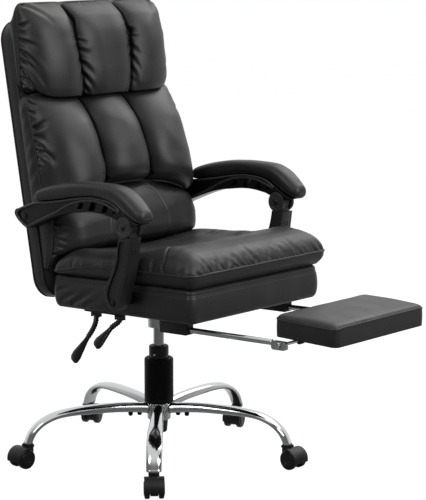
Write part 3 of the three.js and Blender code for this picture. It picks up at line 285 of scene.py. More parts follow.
MATERIALS = {
    "leather": leather_material(),
    "plastic": plastic_material("plastic_matte", 0.006, 0.46, 0.12),
    "arm_plastic": plastic_material("plastic_arm", 0.005, 0.30, 0.06),
    # The arm frame's ribs and ear rings: a lighter copy of its plastic, a painted highlight along them
    "painted_highlight_plastic": plastic_material("plastic_painted_highlight", 0.034, 0.32, 0.04),
    "upright_plastic": plastic_material("plastic_upright", 0.017, 0.42, 0.12),
    "cover_plastic": plastic_material("plastic_cover", 0.0015, 0.5, 0.06, 0.10),
    "gloss_plastic": plastic_material("plastic_gloss", 0.008, 0.24, 0.03),
    "black_steel": plastic_material("steel_black_enamel", 0.008, 0.38, 0.05),
    "chrome": metal_material("chrome_plate", (0.60, 0.61, 0.62), 0.10, 0.02, 0.03),
    "rod_chrome": metal_material("chrome_rod", (0.34, 0.35, 0.36), 0.15, 0.02, 0.03),
    "zinc_steel": metal_material("steel_zinc_plate", (0.46, 0.47, 0.48), 0.28, 0.05, 0.07),
    "plywood": plywood_material(),
}


# Mesh helpers

RNG = np.random.default_rng(7)


def from_mm(rows, shares=0):
    """Rows in metres, from rows in millimetres whose first values may be shares."""
    return [(*row[:shares], *(value / 1000 for value in row[shares:])) for row in rows]


def gathers(rows):
    """Lines for creases(), from rows whose lengths are in millimetres."""
    return [
        (s / 1000, b / 1000, heading, *(size / 1000 for size in sizes), curl)
        for s, b, heading, *sizes, curl in rows
    ]


def smooth(value):
    value = np.clip(value, 0, 1)
    return value * value * (3 - 2 * value)


def share(value, low, high):
    return np.clip((value - low) / (high - low), 0, 1)


def bell(value, middle, width):
    return np.exp(-((value - middle) / width) ** 2)


def crown_share(distance, roll, power=2.0):
    inside = np.clip(distance / roll, 0, 1)
    return np.clip(1 - (1 - inside) ** power, 0, 1) ** (1 / power)


def cubic(t, start, leaving, end, arriving):
    """A line from start to end with a slope at each."""
    return (
        (1 + 2 * t) * (1 - t) ** 2 * start
        + t * (1 - t) ** 2 * leaving
        + t * t * (3 - 2 * t) * end
        + t * t * (t - 1) * arriving
    )


def curve(rows, place, column=1):
    """A smooth line through a table's rows that never overshoots them."""
    x = np.array([row[0] for row in rows], float)
    y = np.array([row[column] for row in rows], float)
    step = np.diff(x)
    rise = np.diff(y) / step
    slope = np.zeros(len(x))
    slope[0], slope[-1] = rise[0], rise[-1]
    same = rise[:-1] * rise[1:] > 0
    both = rise[:-1] + rise[1:]
    slope[1:-1] = np.where(same, 2 * rise[:-1] * rise[1:] / np.where(same, both, 1), 0)
    place = np.clip(place, x[0], x[-1])
    i = np.clip(np.searchsorted(x, place) - 1, 0, len(x) - 2)
    t = (place - x[i]) / step[i]
    return cubic(t, y[i], step[i] * slope[i], y[i + 1], step[i] * slope[i + 1])


def unit(vectors):
    return vectors / np.linalg.norm(vectors, axis=-1, keepdims=True)


def place_mesh(name, mesh, body, look, node=None):
    """Puts a mesh in the scene, with its look, the body it rides on and the node it stands for."""
    mesh.materials.clear()
    mesh.materials.append(MATERIALS[look])
    obj = bpy.data.objects.new(name, mesh)
    bpy.context.scene.collection.objects.link(obj)
    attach(obj, body)
    if node:
        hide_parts(node)
    return obj


def new_object(name, vertices, faces, body, look, node=None, outwards=False):
    mesh = bpy.data.meshes.new(name)
    mesh.from_pydata([tuple(v) for v in vertices], [], faces)
    mesh.update()
    mesh.shade_smooth()
    if outwards:
        shape = bmesh.new()
        shape.from_mesh(mesh)
        bmesh.ops.recalc_face_normals(shape, faces=shape.faces)
        shape.to_mesh(mesh)
        shape.free()
    return place_mesh(name, mesh, body, look, node)


def apply_matrix(matrix, points):
    m = np.array(matrix)
    return np.asarray(points) @ m[:3, :3].T + m[:3, 3]


def round_angles(count):
    return np.linspace(0, TURN, count, endpoint=False)


def run_along(points):
    """How far along a line each of its points lies."""
    return np.concatenate([[0], np.cumsum(np.linalg.norm(np.diff(points, axis=0), axis=1))])


def resample(line, count, endpoint=True):
    """A line with evenly spaced points."""
    run = run_along(line)
    even = np.linspace(0, run[-1], count, endpoint=endpoint)
    return np.stack([np.interp(even, run, column) for column in line.T], -1)


def bands(loops, closed=False, around=True):
    """Quads between loops of vertex numbers, each with the next."""
    return [
        (low[j - 1], low[j], high[j], high[j - 1])
        for low, high in zip(loops, loops[1:] + loops[:1] if closed else loops[1:])
        for j in range(0 if around else 1, len(low))
    ]


def tube(name, points, radius, body, look, closed=False, sides=8):
    """A round bar along points, such as a welt or a rib."""
    points = np.asarray(points, float)
    tangent = np.roll(points, -1, 0) - np.roll(points, 1, 0) if closed else np.gradient(points, axis=0)
    tangent = unit(tangent)
    side = np.cross(tangent[0], UPWARDS)
    if np.linalg.norm(side) < 0.1:
        side = np.cross(tangent[0], (0.0, 1.0, 0.0))
    angles = round_angles(sides)
    rings = []
    for centre, ahead in zip(points, tangent):
        side = unit(side - ahead * (side @ ahead))
        up = np.cross(ahead, side)
        rings.append(centre + radius * (np.outer(np.cos(angles), side) + np.outer(np.sin(angles), up)))
    loops = np.arange(len(rings) * sides).reshape(-1, sides).tolist()
    faces = bands(loops, closed)
    if not closed:
        faces += [loops[0][::-1], loops[-1]]
    return new_object(name, np.concatenate(rings), faces, body, look)


def creases(s, b, lines):
    """Height of short gathers: each has a start, a heading, a length, a width, a depth and a curl."""
    total = np.zeros_like(s)
    for start_s, start_b, heading, length, width, depth, curl in lines:
        ahead, aside = math.cos(heading), math.sin(heading)
        along = (s - start_s) * ahead + (b - start_b) * aside
        across = -(s - start_s) * aside + (b - start_b) * ahead - curl * along * np.abs(along) / length
        wide = width * (0.8 + 0.9 * np.clip(along / length, 0, 1))
        fade = smooth(along / (0.10 * length) + 0.6) * np.clip(1 - along / length, 0, 1) ** 1.1
        ridges = bell(across, 1.7 * wide, wide) + 0.7 * bell(across, -1.8 * wide, wide)
        total += depth * fade * (0.5 * ridges - bell(across, 0, wide))
    return total


def random_creases(count, low, high, start, heading, spread, length, width, depth, curl=0.3, along_s=False):
    """Gathers that start on a straight line, from low to high along it, with a seeded spread."""
    made = []
    for i in range(count):
        place = low + (high - low) * (i + RNG.uniform(0.1, 0.9)) / count
        first, second = (place, start) if along_s else (start, place)
        made.append((
            first, second, heading + RNG.uniform(-spread, spread), length * RNG.uniform(0.45, 1.25),
            width * RNG.uniform(0.7, 1.3), depth * RNG.uniform(0.5, 1.15), RNG.uniform(-curl, curl),
        ))
    return made


def slack(a, b, height, seed):
    """Long, low waves of leather that isn't quite taut."""
    rng = np.random.default_rng(seed)
    total = np.zeros_like(a)
    for _ in range(9):
        turn, pitch, phase = rng.uniform(0, np.pi), rng.uniform(0.06, 0.16), rng.uniform(0, 2 * np.pi)
        total += np.sin(2 * np.pi * (a * math.cos(turn) + b * math.sin(turn)) / pitch + phase)
    return height * total / 3


class Pad:
    """A closed cushion: a crowned front drawn row by row, a side band behind its welt, and a flat rear.

    Each row of its table is a place from 0 to 1, the crown's depth and the rim's depth. Its corners have one
    radius, or four: low left, low right, high left, high right. The front rolls over its sides within roll, and
    its faces are about step wide. valley lowers the front, and extra raises it.
    """

    def __init__(
        self, name, matrix, rows, half, low, high, corner, roll, step, valley=None, power=2.0, extra=None,
    ):
        self.name, self.matrix, self.middle = name, matrix, (low + high) / 2
        fine = np.linspace(0, 1, 800)
        run = run_along(np.stack([fine * (high - low), curve(rows, fine)], -1))
        t = np.interp(np.linspace(0, run[-1], int(run[-1] / step) + 1), run, fine)
        u = np.sin(np.linspace(-1, 1, 1401) * np.pi / 2)
        lines, columns = [], None
        corners = np.resize(corner, 4)
        for place in t:
            b = low + place * (high - low)
            near_end, radii = (b - low, corners[:2]) if place < 0.5 else (high - b, corners[2:])
            left, right = half - radii + np.sqrt(radii ** 2 - np.maximum(radii - near_end, 0) ** 2)
            side = np.where(u < 0, left, right)
            a = u * side
            top, rim = float(curve(rows, place)), float(curve(rows, place, 2))
            inside = crown_share(side - np.abs(a), roll, power)
            depth = rim + (max(top, rim) - rim) * inside
            if extra is not None:
                depth = depth + extra(a, np.full_like(a, place)) * inside
            if valley is not None:
                depth = depth - valley(a, np.full_like(a, place)) * inside
            columns = columns or int((2 * half + 2 * (top - rim)) / step)
            lines.append(resample(np.stack([a, np.full_like(a, b), depth], -1), columns + 1))
        p = self.points = np.array(lines)
        self.place = np.repeat(t[:, None], columns + 1, 1)
        self.inside = crown_share(half - np.abs(p[..., 0]), roll, power)
        self.left = np.array([run_along(row) for row in p])
        self.right = self.left[:, -1:] - self.left
        self.front = np.stack([run_along(column) for column in p.swapaxes(0, 1)], -1)
        self.rear = self.front[-1:] - self.front
        self.a, self.b = p[..., 0].copy(), p[..., 1].copy()

    def gathered(self, lines, near=1.35, far=1.2):
        """The height of gathers that start at the near side, and of like ones at the far side."""
        return near * creases(self.left, self.b, lines) + far * creases(self.right, self.b, mirrored(lines))

    def emboss(self, height, rim=0.006):
        """Moves the front along its own outward direction."""
        p = self.points
        normal = np.cross(np.gradient(p, axis=1), np.gradient(p, axis=0))
        normal /= np.maximum(np.linalg.norm(normal, axis=2, keepdims=True), 1e-9)
        edge = np.minimum(np.minimum(self.left, self.right), np.minimum(self.front, self.rear))
        p += normal * (height * smooth(edge / rim))[..., None]

    def build(self, foot, body, node, rings=6, bulge=0.003, tuck=0.0, side_detail=None):
        """foot is the rear's depth; the side band bulges and then tucks in."""
        self.body = body
        rows, columns = self.a.shape
        grid = np.arange(rows * columns).reshape(rows, columns)
        border = np.concatenate([grid[0], grid[1:, -1], grid[-1, -2::-1], grid[-2:0:-1, 0]])
        front = self.points.reshape(-1, 3)
        rim = front[border]
        ahead = np.roll(rim[:, :2], -1, 0) - np.roll(rim[:, :2], 1, 0)
        outward = np.stack([ahead[:, 1], -ahead[:, 0]], -1)
        outward /= np.maximum(np.linalg.norm(outward, axis=1)[:, None], 1e-9)
        for _ in range(6):
            outward = (np.roll(outward, 1, 0) + outward + np.roll(outward, -1, 0)) / 3
        outward = unit(outward)
        foot_line = foot(rim[:, 0], rim[:, 1]) if callable(foot) else np.full(len(rim), foot)
        vertices = [front]
        for t in [k / rings for k in range(1, rings + 1)]:
            out = bulge * math.sin(math.pi * t) - tuck * t ** 2
            ring = rim.copy()
            ring[:, 2] = rim[:, 2] * (1 - t) + foot_line * t
            if side_detail is not None:
                out = out + side_detail(rim, ring[:, 2], t)
            ring[:, :2] += outward * np.reshape(np.broadcast_to(out, (len(rim),)), (-1, 1))
            vertices.append(ring)
        vertices = np.concatenate([*vertices, [[0, self.middle, float(np.mean(foot_line))]]])
        sides = np.arange(grid.size, len(vertices) - 1).reshape(rings, -1).tolist()
        last, centre = sides[-1], len(vertices) - 1
        faces = bands(grid.tolist(), around=False) + bands([*sides[::-1], border.tolist()])
        faces += [(last[j], last[j - 1], centre) for j in range(len(last))]
        obj = new_object(self.name, apply_matrix(self.matrix, vertices), faces, body, "leather", node)
        self.rim, self.outward = rim, outward

    def welt(self, name, radius, offset=0.0, sink=0.0, every=3, level=None):
        line = self.rim.copy()
        line[:, :2] += self.outward * offset
        line[:, 2] = line[:, 2] - sink if level is None else level
        tube(name, apply_matrix(self.matrix, line[::every]), radius, self.body, "leather", closed=True)


# Frames that the soft pieces are built in: across, along and outwards

BACK_FOOT = (0.203, 0.423)
BACK_PITCH = math.radians(-10.3)
SEAT_PITCH = math.radians(-2.78)
SEAT_HEIGHT = 0.4131
OUT_FROM_BACK = Matrix(((1, 0, 0, 0), (0, 0, -1, 0), (0, 1, 0, 0), (0, 0, 0, 1)))
ON_BACK = (
    Matrix.Translation((0, COLUMN_Y + BACK_FOOT[0], BACK_FOOT[1]))
    @ Matrix.Rotation(BACK_PITCH, 4, "X")
    @ OUT_FROM_BACK
)
ON_SEAT = Matrix.Translation((0, COLUMN_Y, SEAT_HEIGHT)) @ Matrix.Rotation(SEAT_PITCH, 4, "X")
BACK_FACE = 0.0455  # how far out the shell's front lies
WELT = 0.0022
FINE = 1.0


def both_ends(rows):
    """Rows up to the middle, and the same rows back to the other end."""
    return rows + [(1 - place, *rest) for place, *rest in rows[::-1] if place < 0.5]


def pinch(a, seam, depth, width, reach):
    """A sewn seam between two full channels: the leather falls to it from both sides."""
    distance = np.abs(np.abs(a) - seam)
    return depth * (0.5 * np.exp(-distance / width) + 0.5 * np.clip(1 - distance / reach, 0, 1) ** 2)


# Back pads

HEAD_ROWS = from_mm([
    (0, 95, 53), (0.04, 113, 54), (0.1, 127, 57), (0.18, 137, 60), (0.3, 142, 64), (0.45, 143, 68),
    (0.62, 140, 73), (0.8, 130, 78), (0.92, 109, 81), (0.97, 95, 82), (1, 83, 82),
], shares=1)
HEAD_SEAM = from_mm([(0, 76), (0.3, 87), (0.55, 92), (0.8, 94), (1, 90)], shares=1)
NEAR_HEAD_GATHERS = gathers([
    (2, 729, -0.2, 120, 4.5, 3.5, -0.35), (2, 678, -0.15, 36, 4, 5, 0.1), (2, 645, -0.42, 64, 4.2, 6.5, -0.1),
    (2, 618, -0.52, 98, 4.6, 7, -0.25), (2, 596, -0.36, 90, 4.2, 6, -0.3), (2, 576, -0.8, 100, 5, 7, -0.2),
    (2, 553, -0.45, 50, 3.6, 4.5, 0), (2, 537, -0.7, 70, 4.6, 6, -0.2), (2, 522, -0.5, 40, 4, 4.5, 0),
    (2, 661, -0.3, 24, 3, 3, 0),
])
SEAM_GATHERS = gathers([
    (0, 643, -0.5, 28, 3.4, 4.5, 0), (0, 622, -0.45, 34, 3.6, 5, 0.1), (0, 600, -0.65, 40, 3.8, 6, -0.1),
    (0, 581, -0.8, 46, 4, 6, -0.2), (0, 562, -0.95, 50, 4.2, 6, -0.2), (0, 545, -0.8, 30, 3.4, 4, 0),
])


def mirrored(lines):
    """The far side's gathers: the near side's, jostled a little."""
    return [
        (s, b + RNG.uniform(-0.006, 0.006), h * RNG.uniform(0.7, 1.2), le * RNG.uniform(0.7, 1.1), w, d, c)
        for s, b, h, le, w, d, c in lines
    ]


def make_headrest():
    pad = Pad(
        "headrest", ON_BACK, HEAD_ROWS, half=0.240, low=0.509, high=0.731, corner=(0.034, 0.042, 0.018, 0.034),
        roll=0.100, step=0.0021 * FINE,
        valley=lambda a, t: pinch(a, curve(HEAD_SEAM, t), 0.025, 0.009, 0.070), power=2.4,
    )
    seam = curve(HEAD_SEAM, pad.place)
    height = slack(pad.a, pad.b, 0.0008, 3) + pad.gathered(NEAR_HEAD_GATHERS)
    for sign in (-1, 1):
        beyond = pad.a - sign * seam
        off, deep = sign * 0.012, 1 if sign < 0 else 0.6
        lines = [(s, b + off, h, le, w, d * deep, c) for s, b, h, le, w, d, c in SEAM_GATHERS]
        height += creases(beyond, pad.b, lines) * (beyond > -0.004)
        height += 0.45 * creases(-beyond, pad.b - 0.01, lines) * (beyond < 0.004)
        pocket = bell(pad.b, 0.688, 0.026)
        if sign > 0:
            pocket = bell(pad.b, 0.645, 0.010) + 0.5 * bell(pad.b, 0.615, 0.03)
        line = bell(beyond - 0.002 * pocket, 0, 0.0024 + 0.0045 * pocket)
        height -= (0.0045 + 0.0100 * pocket) * line
    top = random_creases(7, -0.05, 0.09, 0.004, math.pi / 2, 0.4, 0.03, 0.004, 0.0016, along_s=True)
    height += creases(pad.a, pad.rear, top)
    hem = random_creases(12, -0.21, 0.21, 0.004, math.pi / 2, 0.4, 0.035, 0.005, 0.0016, along_s=True)
    height += creases(pad.a, pad.front - 0.002, hem)
    pad.emboss(height)
    t = pad.place
    # Its full lower front hangs over the seam to the cushion below
    fall = np.interp(t, [0, 0.03, 0.10, 0.2, 0.35, 0.5], [0, 0.006, 0.044, 0.034, 0.014, 0]) * pad.inside
    pad.points[..., 1] -= fall * share(pad.points[..., 2], 0.06, 0.115)

    def shell_behind(a, b):
        return BACK_FACE + 0.031 * share(b, 0.69, 0.731) ** 0.6

    pad.build(shell_behind, "back", "headrest_pillow", rings=8)
    pad.welt("headrest_welt", WELT)


def waist_fall(a):
    """How far the seam between back cushion and lumbar panel lies below its middle."""
    return 0.054 * np.clip((np.abs(a) / 0.248 - 0.25) / 0.75, 0, 1) ** 1.25


CUSHION_ROWS = from_mm([
    (0, 152, 79), (0.03, 171, 83), (0.09, 184, 86), (0.18, 188, 88), (0.33, 184, 88), (0.5, 175, 88),
    (0.66, 162, 85), (0.8, 141, 81), (0.94, 113, 77), (1, 96, 73),
], shares=1)
CUSHION_SEAM = from_mm([(0, 80), (0.5, 79), (1, 76)], shares=1)
NEAR_CUSHION_GATHERS = gathers([
    (2, 492, -0.6, 40, 4, 4.5, 0), (2, 470, -0.3, 28, 3.4, 3.5, 0), (2, 434, 0.1, 60, 4.5, 6.5, 0.15),
    (2, 420, -0.25, 40, 3.6, 4, 0), (2, 410, -0.62, 80, 4.5, 6.5, -0.2), (2, 392, -0.4, 65, 4.2, 6, -0.1),
    (2, 376, -0.6, 45, 4, 5, 0), (2, 360, -0.5, 30, 3.6, 3.5, 0), (2, 285, -0.45, 44, 4.5, 5.5, 0),
    (2, 300, -0.3, 28, 3.6, 3, 0),
])


def make_back_cushion():
    pad = Pad(
        "back_cushion_cover", ON_BACK, CUSHION_ROWS, half=0.246, low=0.259, high=0.504, corner=0.020,
        roll=0.095, step=0.0021 * FINE,
        valley=lambda a, t: pinch(a, curve(CUSHION_SEAM, t), 0.042, 0.014, 0.082), power=2.4,
    )
    seam = curve(CUSHION_SEAM, pad.place)
    height = slack(pad.a, pad.b, 0.0008, 5) + pad.gathered(NEAR_CUSHION_GATHERS)
    for sign in (-1, 1):
        beyond = pad.a - sign * seam
        knot = bell(pad.place, 0.05, 0.03)
        height -= (0.0045 + 0.006 * knot) * bell(beyond, 0, 0.0022 + 0.004 * knot)
    pad.emboss(height)
    pad.points[..., 1] -= waist_fall(pad.points[..., 0]) * (1 - pad.place)
    pad.build(BACK_FACE, "back", "back_cushion", rings=10, bulge=0.0025, side_detail=gusset_folds)
    pad.welt("back_cushion_welt", WELT)


def gusset_folds(rim, _, t):
    """Slack folds in the band between a back pad and the shell."""
    wave = np.sin(rim[:, 1] * 95 + 3 * t) * np.sin(rim[:, 1] * 41 + 1) + 0.6 * np.sin(rim[:, 1] * 170 + 5 * t)
    return 0.0011 * wave * math.sin(math.pi * t)


LUMBAR_ROWS = from_mm([
    (0, 72, 61), (0.1, 87, 72), (0.16, 108, 79), (0.21, 144, 85), (0.28, 163, 91), (0.4, 168, 96),
    (0.55, 168, 101), (0.76, 160, 103), (0.92, 147, 103), (1, 127, 103),
], shares=1)
LUMBAR_SEAM = from_mm([(0, 105), (0.45, 105), (0.75, 90), (1, 58)], shares=1)


def make_lumbar():
    pad = Pad(
        "lumbar_cover", ON_BACK, LUMBAR_ROWS, half=0.238, low=0.067, high=0.2565,
        corner=(0.006, 0.006, 0.016, 0.016), roll=0.055, step=0.0026 * FINE, power=2.2,
    )
    height = slack(pad.a, pad.b, 0.0007, 8)
    for sign in (-1, 1):
        seam = sign * curve(LUMBAR_SEAM, pad.place)
        height -= 0.0030 * bell(pad.a - seam, 0, 0.0022)
        height -= 0.0009 * bell(pad.a - seam + sign * 0.012, 0, 0.0022)
    height += pad.gathered(random_creases(11, 0.10, 0.21, 0.002, -0.45, 0.3, 0.050, 0.004, 0.0062), 1, 1)
    pad.emboss(height)
    pad.points[..., 1] -= waist_fall(pad.points[..., 0]) * pad.place ** 2
    pad.build(BACK_FACE, "back", "lumbar_panel", rings=6, bulge=0.002)
    pad.welt("lumbar_welt", WELT)


def make_shell():
    """The upholstered board behind the pads: a domed rear panel, a side band and two welts."""
    to_rear = Matrix.Rotation(math.pi, 4, "Y")
    rows = both_ends(from_mm([(0.0, -6, -6.5), (0.02, -1, -6), (0.1, 3, -6)], shares=1))
    pad = Pad(
        "back_shell_cover", ON_BACK @ to_rear, rows, half=0.239, low=-0.007, high=0.698, corner=0.055,
        roll=0.05, step=0.006,
    )
    height = slack(pad.a, pad.b, 0.0006, 12)
    lines = random_creases(9, -0.2, 0.2, 0.004, 1.57, 0.5, 0.09, 0.008, 0.0012, along_s=True)
    height += creases(pad.a, pad.front, lines)
    pad.emboss(height, rim=0.02)
    pad.build(-0.0448, "back", "back_shell", rings=8, bulge=0.0012)
    pad.welt("back_shell_welt", 0.0024, every=1)
    pad.welt("back_shell_front_welt", WELT, every=1, level=-0.0436, offset=0.0004)


# Seat

SEAT_ROWS = from_mm([
    (0, 118.2, 117.8), (0.003, 127, 118), (0.012, 140.5, 118), (0.035, 155, 118), (0.08, 167.5, 118),
    (0.15, 174.5, 118), (0.2, 173.5, 118), (0.27, 165, 118), (0.31, 157, 118), (0.36, 149, 118),
    (0.45, 142, 118), (0.62, 138, 117), (0.75, 137, 113), (0.88, 134, 103), (1, 118, 94),
], shares=1)


def seat_bolster(a, t):
    """How much higher the seat cushion is towards its sides."""
    return 0.022 * (np.abs(a) / 0.248) ** 2 * np.interp(t, [0.15, 0.35, 0.86, 1.0], [0, 1, 1, 0.3])


def make_seat_cushion():
    pad = Pad(
        "seat_cushion_cover", ON_SEAT, SEAT_ROWS, half=0.248, low=-0.358, high=0.127, corner=0.026,
        roll=0.055, step=0.0025 * FINE, power=2.1, extra=seat_bolster,
    )
    height = slack(pad.a, pad.b, 0.0009, 21)
    front = random_creases(
        30, -0.235, 0.235, 0.001, math.pi / 2 + 0.35, 0.35, 0.070, 0.0050, 0.0042, 0.4, along_s=True,
    )
    height += creases(pad.a, pad.front, front) * (0.6 + 0.4 * (pad.a / 0.24) ** 2)
    height += pad.gathered(random_creases(10, -0.34, 0.09, 0.002, 0.0, 0.5, 0.045, 0.006, 0.0022), 1, 1)
    # A sewn line behind the front roll, and folds where the hollow meets the sides
    line = -0.215 - 0.030 * (np.abs(pad.a) / 0.2) ** 3
    height -= 0.0030 * bell(pad.b - line, 0, 0.0028) * smooth((0.250 - np.abs(pad.a)) / 0.02)
    folds = gathers([
        (120, -185, 0.25, 100, 6, 2.6, 0.2), (165, -120, -0.1, 70, 6, 2.2, -0.2),
        (-130, -180, 2.95, 90, 6, 2.2, -0.2), (-160, -80, 3.2, 70, 6, 2, 0.2), (170, -30, 0.1, 60, 6, 2, 0.1),
        (20, -200, 1.4, 50, 7, 1.2, 0.1),
    ])
    height += creases(pad.a, pad.b, folds)
    pad.emboss(height)
    pad.build(0.0846, "seat", "seat_cushion", rings=10, bulge=0.0020, tuck=0.020)
    pad.welt("seat_cushion_welt", 0.0030, offset=0.0004)


SIDE_FOLDS = gathers([
    (75, 12, 2.7, 120, 7, 4.2, 0), (110, 20, 2.75, 110, 6, 3, 0.1), (30, 10, 2.72, 90, 6, 2.4, 0),
    (120, 45, 2.9, 70, 5, 2, 0.1),
])


def make_seat_base():
    rows = both_ends(from_mm([(0.0, 76, 75.2), (0.02, 82.5, 75.5), (0.06, 83.5, 76)], shares=1))
    pad = Pad(
        "seat_base_cover", ON_SEAT, rows, half=0.2300, low=-0.3375, high=0.1395, corner=0.014,
        roll=0.012, step=0.004,
    )

    def side(rim, depth, t):
        flank = smooth((np.abs(rim[:, 0]) - 0.22) / 0.008)
        stitch = -0.0016 * bell(depth, 0.0700, 0.0016) - 0.0012 * bell(depth, 0.0655, 0.0012)
        folds = creases(rim[:, 1], depth, SIDE_FOLDS) * flank * math.sin(math.pi * t) ** 0.6
        waves = 0.0007 * np.sin(rim[:, 0] * 47 + 2.2 * t) * np.sin(rim[:, 0] * 21 + 0.7) * math.sin(math.pi * t)
        return folds + waves + stitch - 0.0075 * t ** 14

    pad.build(0.0006, "seat", "seat_base", rings=44, bulge=0.0046, side_detail=side)


# Footrest

def make_foot_pad():
    low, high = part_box("footrest_pad")
    matrix = Matrix.Translation((0, (low.y + high.y) / 2, low.z))
    half = (high.y - low.y) / 2 - 0.0008
    thick = high.z - low.z
    below = from_mm([(0.0, 10.5, 12), (0.03, 4.5, 13), (0.12, 1.4, 14), (0.5, 0, 14)], shares=1)
    rows = both_ends([(place, thick - crown, thick - rim) for place, crown, rim in below])
    pad = Pad(
        "footrest_cover", matrix, rows, half=0.1642, low=-half, high=half, corner=0.014,
        roll=0.022, step=0.0024 * FINE,
    )
    height = slack(pad.a, pad.b, 0.0004, 31)
    hem = random_creases(12, -0.15, 0.15, 0.002, math.pi / 2, 0.4, 0.022, 0.003, 0.0009, along_s=True)
    height += creases(pad.a, pad.front, hem)
    pad.emboss(height)
    pad.build(-0.0060, "footrest", "footrest_pad", rings=10, bulge=0.0008)
    pad.welt("footrest_welt", 0.0018, sink=0.0006)


# Hard pieces

def refine(node, width):
    """Draws a node's own shape with merged facets, rounded edges and smooth shading."""
    source = frame["nodes"][node]
    shape = bmesh.new()
    shape.from_mesh(source.data)
    bmesh.ops.remove_doubles(shape, verts=shape.verts, dist=MERGE)
    bmesh.ops.dissolve_limit(shape, angle_limit=math.radians(1.2), verts=shape.verts, edges=shape.edges)
    sharp = [e for e in shape.edges if e.is_manifold and e.calc_face_angle() > math.radians(32)]
    bmesh.ops.bevel(
        shape, geom=sharp, offset=width, segments=2, profile=0.6, affect="EDGES", clamp_overlap=True,
    )
    mesh = bpy.data.meshes.new(f"{node}_detail")
    shape.to_mesh(mesh)
    shape.free()
    mesh.transform(source.matrix_world)
    mesh.shade_smooth()
    mesh.set_sharp_from_angle(angle=math.radians(40))
    place_mesh(mesh.name, mesh, BODY_OF[node], SLOTS[node], node)


# The arm pads, read from the same side view as the frame's: place, underside, crest, width share

ARM = {"pivot": (-0.174, 0.650), "length": 0.384, "rise": 0.097, "line": 0.278, "inner": 0.252, "outer": 0.296}
ARM_PAD_ROWS = [
    (-0.1765, 0.285, 0.325, 0.16), (-0.1745, 0.225, 0.385, 0.46), (-0.167, 0.15, 0.46, 0.66),
    (-0.141, 0.134, 0.55, 0.83), (-0.094, 0.196, 0.70, 0.94), (-0.026, 0.33, 0.87, 1.0),
    (0.06, 0.526, 0.98, 0.98), (0.141, 0.608, 1.0, 0.95), (0.237, 0.639, 1.0, 0.91),
    (0.401, 0.567, 0.965, 0.90), (0.56, 0.443, 0.87, 0.88), (0.6875, 0.361, 0.75, 0.86),
    (0.775, 0.318, 0.62, 0.81), (0.792, 0.335, 0.55, 0.66), (0.796, 0.40, 0.49, 0.30),
]


def arm_place(along, rise):
    return ARM["pivot"][0] + along * ARM["length"] + COLUMN_Y, ARM["pivot"][1] + rise * ARM["rise"]


def closed_loft(name, rings, body, look, node):
    """A body through rings of points, closed at both ends."""
    rings = np.asarray(rings)
    count, sides = rings.shape[:2]
    vertices = np.concatenate([rings.reshape(-1, 3), [rings[0].mean(0)], [rings[-1].mean(0)]])
    loops = np.arange(count * sides).reshape(count, sides).tolist()
    first, last = count * sides, count * sides + 1
    faces = bands(loops)
    for j in range(sides):
        faces += [(loops[0][j], first, loops[0][j - 1]), (loops[-1][j - 1], last, loops[-1][j])]
    return new_object(name, vertices, faces, body, look, node, outwards=True)


def soft_power(value, power):
    return np.sign(value) * np.abs(value) ** power


def make_arm_pad(side, sign):
    rows = np.array(ARM_PAD_ROWS)
    run = run_along(rows * (ARM["length"], ARM["rise"], ARM["rise"], 0.03))
    place = np.linspace(0, run[-1], 150)
    along, low, high, width = (curve(np.stack([run, rows[:, k]], -1), place) for k in range(4))
    y, bottom = arm_place(along, low)
    top = arm_place(along, high)[1]
    angles = round_angles(56)
    rings = []
    for k in range(len(place)):
        tip = 1 - smooth((place[k] - 0.004) / 0.08)
        power = 0.74 + 0.20 * tip
        across, up = soft_power(np.cos(angles), power), soft_power(np.sin(angles), power)
        middle, half = (top[k] + bottom[k]) / 2, (top[k] - bottom[k]) / 2
        # The cover is drawn in a little under its widest line, where it is stapled, and at a line above it
        stapled = 0.12 * smooth(-np.sin(angles) - 0.1)
        tuck = 1 - stapled - 0.035 * bell(np.sin(angles), 0.62, 0.16) * np.abs(np.cos(angles))
        rings.append(np.stack([
            sign * (ARM["line"] + 0.029 * width[k] * across * tuck),
            np.full(len(angles), y[k]),
            middle + half * up,
        ], -1))
    pad = closed_loft(f"arm_pad_{side}_cover", rings, f"arm_{side}", "leather", f"arm_pad_{side}")
    under = np.array(rings)[:, [int(round(56 * turn)) % 56 for turn in (0.90, 0.60)]]
    welt = np.concatenate([under[2:-2, 0], under[-3:1:-1, 1]])
    tube(f"arm_pad_{side}_welt", welt[::2], 0.0011, f"arm_{side}", "leather", closed=True)


# The star base's legs: a middle line from the hub out, then widths and heights along it

LEG = {
    "reach": 0.345, "crest": 0.134, "end": 0.060, "turn": -47.5, "hub": 0.030, "sunk": 0.004,
    "lies_from": 0.93, "edge": 0.0012,
}
WELD = {"half_width": 0.0146, "half_height": 0.0142, "bead": 0.0021, "ripple": 0.0006, "ripples": 24}
LEG_PATH = [
    (0.04, 0.13), (0.28, 0.014), (0.48, 0), (0.68, 0.035), (0.8, 0.13), (0.9, 0.35), (0.965, 0.65), (1, 1),
]
LEG_SIZES = from_mm([
    (0, 27, 28), (0.25, 30.8, 25.8), (0.45, 34, 24), (0.8, 40, 18), (1, 37, 20),
], shares=1)


def spline(points, count):
    """A line through points, with the centripetal tangents that the frame's legs have, evenly spaced."""
    points = np.asarray(points, float)
    ends = np.concatenate([[2 * points[0] - points[1]], points, [2 * points[-1] - points[-2]]])
    made = []
    for i in range(1, len(ends) - 2):
        p0, p1, p2, p3 = ends[i - 1], ends[i], ends[i + 1], ends[i + 2]
        d0, d1, d2 = (np.linalg.norm(q - p) ** 0.5 for p, q in ((p0, p1), (p1, p2), (p2, p3)))
        m1 = ((p1 - p0) / d0 - (p2 - p0) / (d0 + d1) + (p2 - p1) / d1) * d1
        m2 = ((p2 - p1) / d1 - (p3 - p1) / (d1 + d2) + (p3 - p2) / d2) * d1
        t = np.linspace(0, 1, 40, endpoint=False)[:, None]
        made.append(cubic(t, p1, m1, p2, m2))
    return resample(np.concatenate(made + [points[-1:]]), count)


